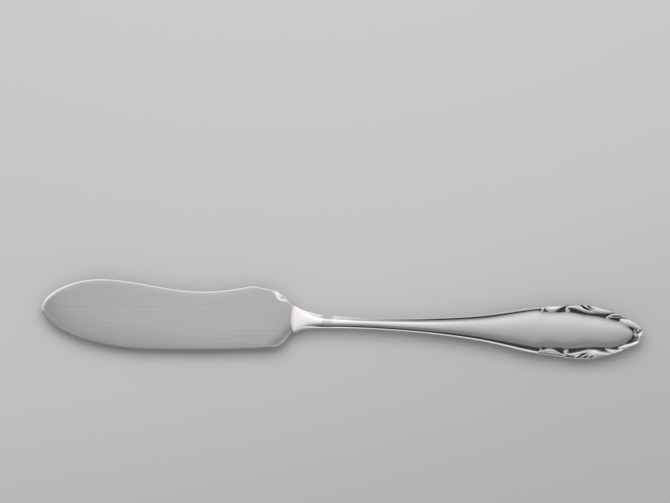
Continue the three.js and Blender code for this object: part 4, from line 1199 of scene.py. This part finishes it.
def studio_world(scene):
    """A room for metal to mirror, even light for all else and a plain pale backdrop for the camera."""
    world = bpy.data.worlds.new("Studio")
    scene.world = world
    world.use_nodes = True
    tree = world.node_tree
    tree.nodes.clear()
    direction = add_node(tree, "ShaderNodeTexCoord").outputs["Generated"]
    axes = add_node(tree, "ShaderNodeSeparateXYZ", {0: direction}).outputs
    angle = add_node(tree, "ShaderNodeMath", {0: axes["Y"], 1: axes["Z"]}, operation="ARCTAN2").outputs[0]
    turn = add_node(tree, "ShaderNodeMapRange", zip(RANGE, (angle, -math.pi, math.pi, 0.0, 1.0)))
    ramp = add_node(tree, "ShaderNodeValToRGB", {"Fac": turn.outputs[0]})
    stops = ramp.color_ramp.elements
    stops.remove(stops[1])
    for degrees, light in ROOM_LIGHT:
        stops.new(degrees / 360 + 0.5).color = (light, light, light, 1)
    stops.remove(stops[0])
    side = add_node(tree, "ShaderNodeMapRange", zip(RANGE, (axes["X"], -1.0, 1.0, *ROOM_SIDES)))
    mirrored, ambient, seen = [
        add_node(tree, "ShaderNodeBackground", {"Color": colour, "Strength": strength}).outputs[0]
        for colour, strength in (
            (ramp.outputs[0], side.outputs[0]), ((1, 1, 1, 1), ROOM_AMBIENT),
            (opaque(linear(BACKDROP)), 1.0))]
    ray = add_node(tree, "ShaderNodeLightPath").outputs
    lit = add_node(tree, "ShaderNodeMixShader", {0: ray["Is Glossy Ray"], 1: ambient, 2: mirrored})
    both = add_node(tree, "ShaderNodeMixShader", {0: ray["Is Camera Ray"], 1: lit.outputs[0], 2: seen})
    add_node(tree, "ShaderNodeOutputWorld", {"Surface": both.outputs[0]})


class KNIFE_OT_stage(bpy.types.Operator):
    """Make the floor, the light and the camera"""

    bl_idname = "butter_knife.stage"
    bl_label = "Stage"

    def execute(self, context):
        scene, stage = context.scene, context.scene.knife_stage
        mesh = bpy.data.meshes.new("floor")
        corners = [(x * FLOOR_HALF, y * FLOOR_HALF, BACK_LOW.z) for x, y in FLOOR_CORNERS]
        mesh.from_pydata(corners, [], [(0, 1, 2, 3)])
        mesh.materials.append(grey_paper(stage))
        floor = linked("floor", mesh)

        studio_world(scene)
        lamp = bpy.data.lights.new("softbox", "AREA")
        lamp.shape, lamp.size, lamp.size_y = "RECTANGLE", SOFTBOX_WIDTH, SOFTBOX_DEPTH
        lamp.energy = SOFTBOX_RADIANCE * math.pi * SOFTBOX_WIDTH * SOFTBOX_DEPTH
        softbox = linked("softbox", lamp)
        softbox.location = SOFTBOX_PLACE
        softbox.rotation_euler = Vector(softbox.location).to_track_quat("Z", "Y").to_euler()
        softbox.visible_camera = False
        softbox.visible_glossy = False

        above = Vector((
            BLADE_TIP + stage.look_along, AXIS_Y + stage.look_aside, MIDDLE_Z + stage.camera_distance))
        lens = bpy.data.cameras.new("camera")
        lens.sensor_width = SENSOR_WIDTH
        lens.lens = lens.sensor_width * stage.camera_distance / (PHOTO_WIDTH * stage.pixel)
        camera = linked("camera", lens)
        camera.matrix_world = Matrix.Translation(above) @ Matrix.Rotation(stage.turn, 4, "Z")
        scene.camera = camera
        scene.view_settings.view_transform = "Standard"
        return {"FINISHED"}


class KNIFE_PT_panel(bpy.types.Panel):
    """Lists the knife's pieces"""

    bl_idname = "KNIFE_PT_panel"
    bl_label = "Butter Knife"
    bl_space_type = "VIEW_3D"
    bl_region_type = "UI"
    bl_category = "Butter Knife"

    def draw(self, context):
        for operator in OPERATORS:
            self.layout.operator(operator.bl_idname)


SETTINGS = {
    "knife_blade": KnifeBladeSettings,
    "knife_bolster": KnifeBolsterSettings,
    "knife_handle": KnifeHandleSettings,
    "knife_stage": KnifeStageSettings,
}
OPERATORS = (KNIFE_OT_stage, KNIFE_OT_blade, KNIFE_OT_bolster, KNIFE_OT_shells, KNIFE_OT_core)


def register():
    for kind in (*SETTINGS.values(), *OPERATORS, KNIFE_PT_panel):
        bpy.utils.register_class(kind)
    for name, kind in SETTINGS.items():
        setattr(bpy.types.Scene, name, bpy.props.PointerProperty(type=kind))


def unregister():
    for name in SETTINGS:
        delattr(bpy.types.Scene, name)
    for kind in reversed((*SETTINGS.values(), *OPERATORS, KNIFE_PT_panel)):
        bpy.utils.unregister_class(kind)


def main():
    register()
    bpy.ops.butter_knife.stage()
    bpy.ops.butter_knife.blade()
    bpy.ops.butter_knife.bolster()
    bpy.ops.butter_knife.shells()
    bpy.ops.butter_knife.core()


if __name__ == "__main__":
    main()
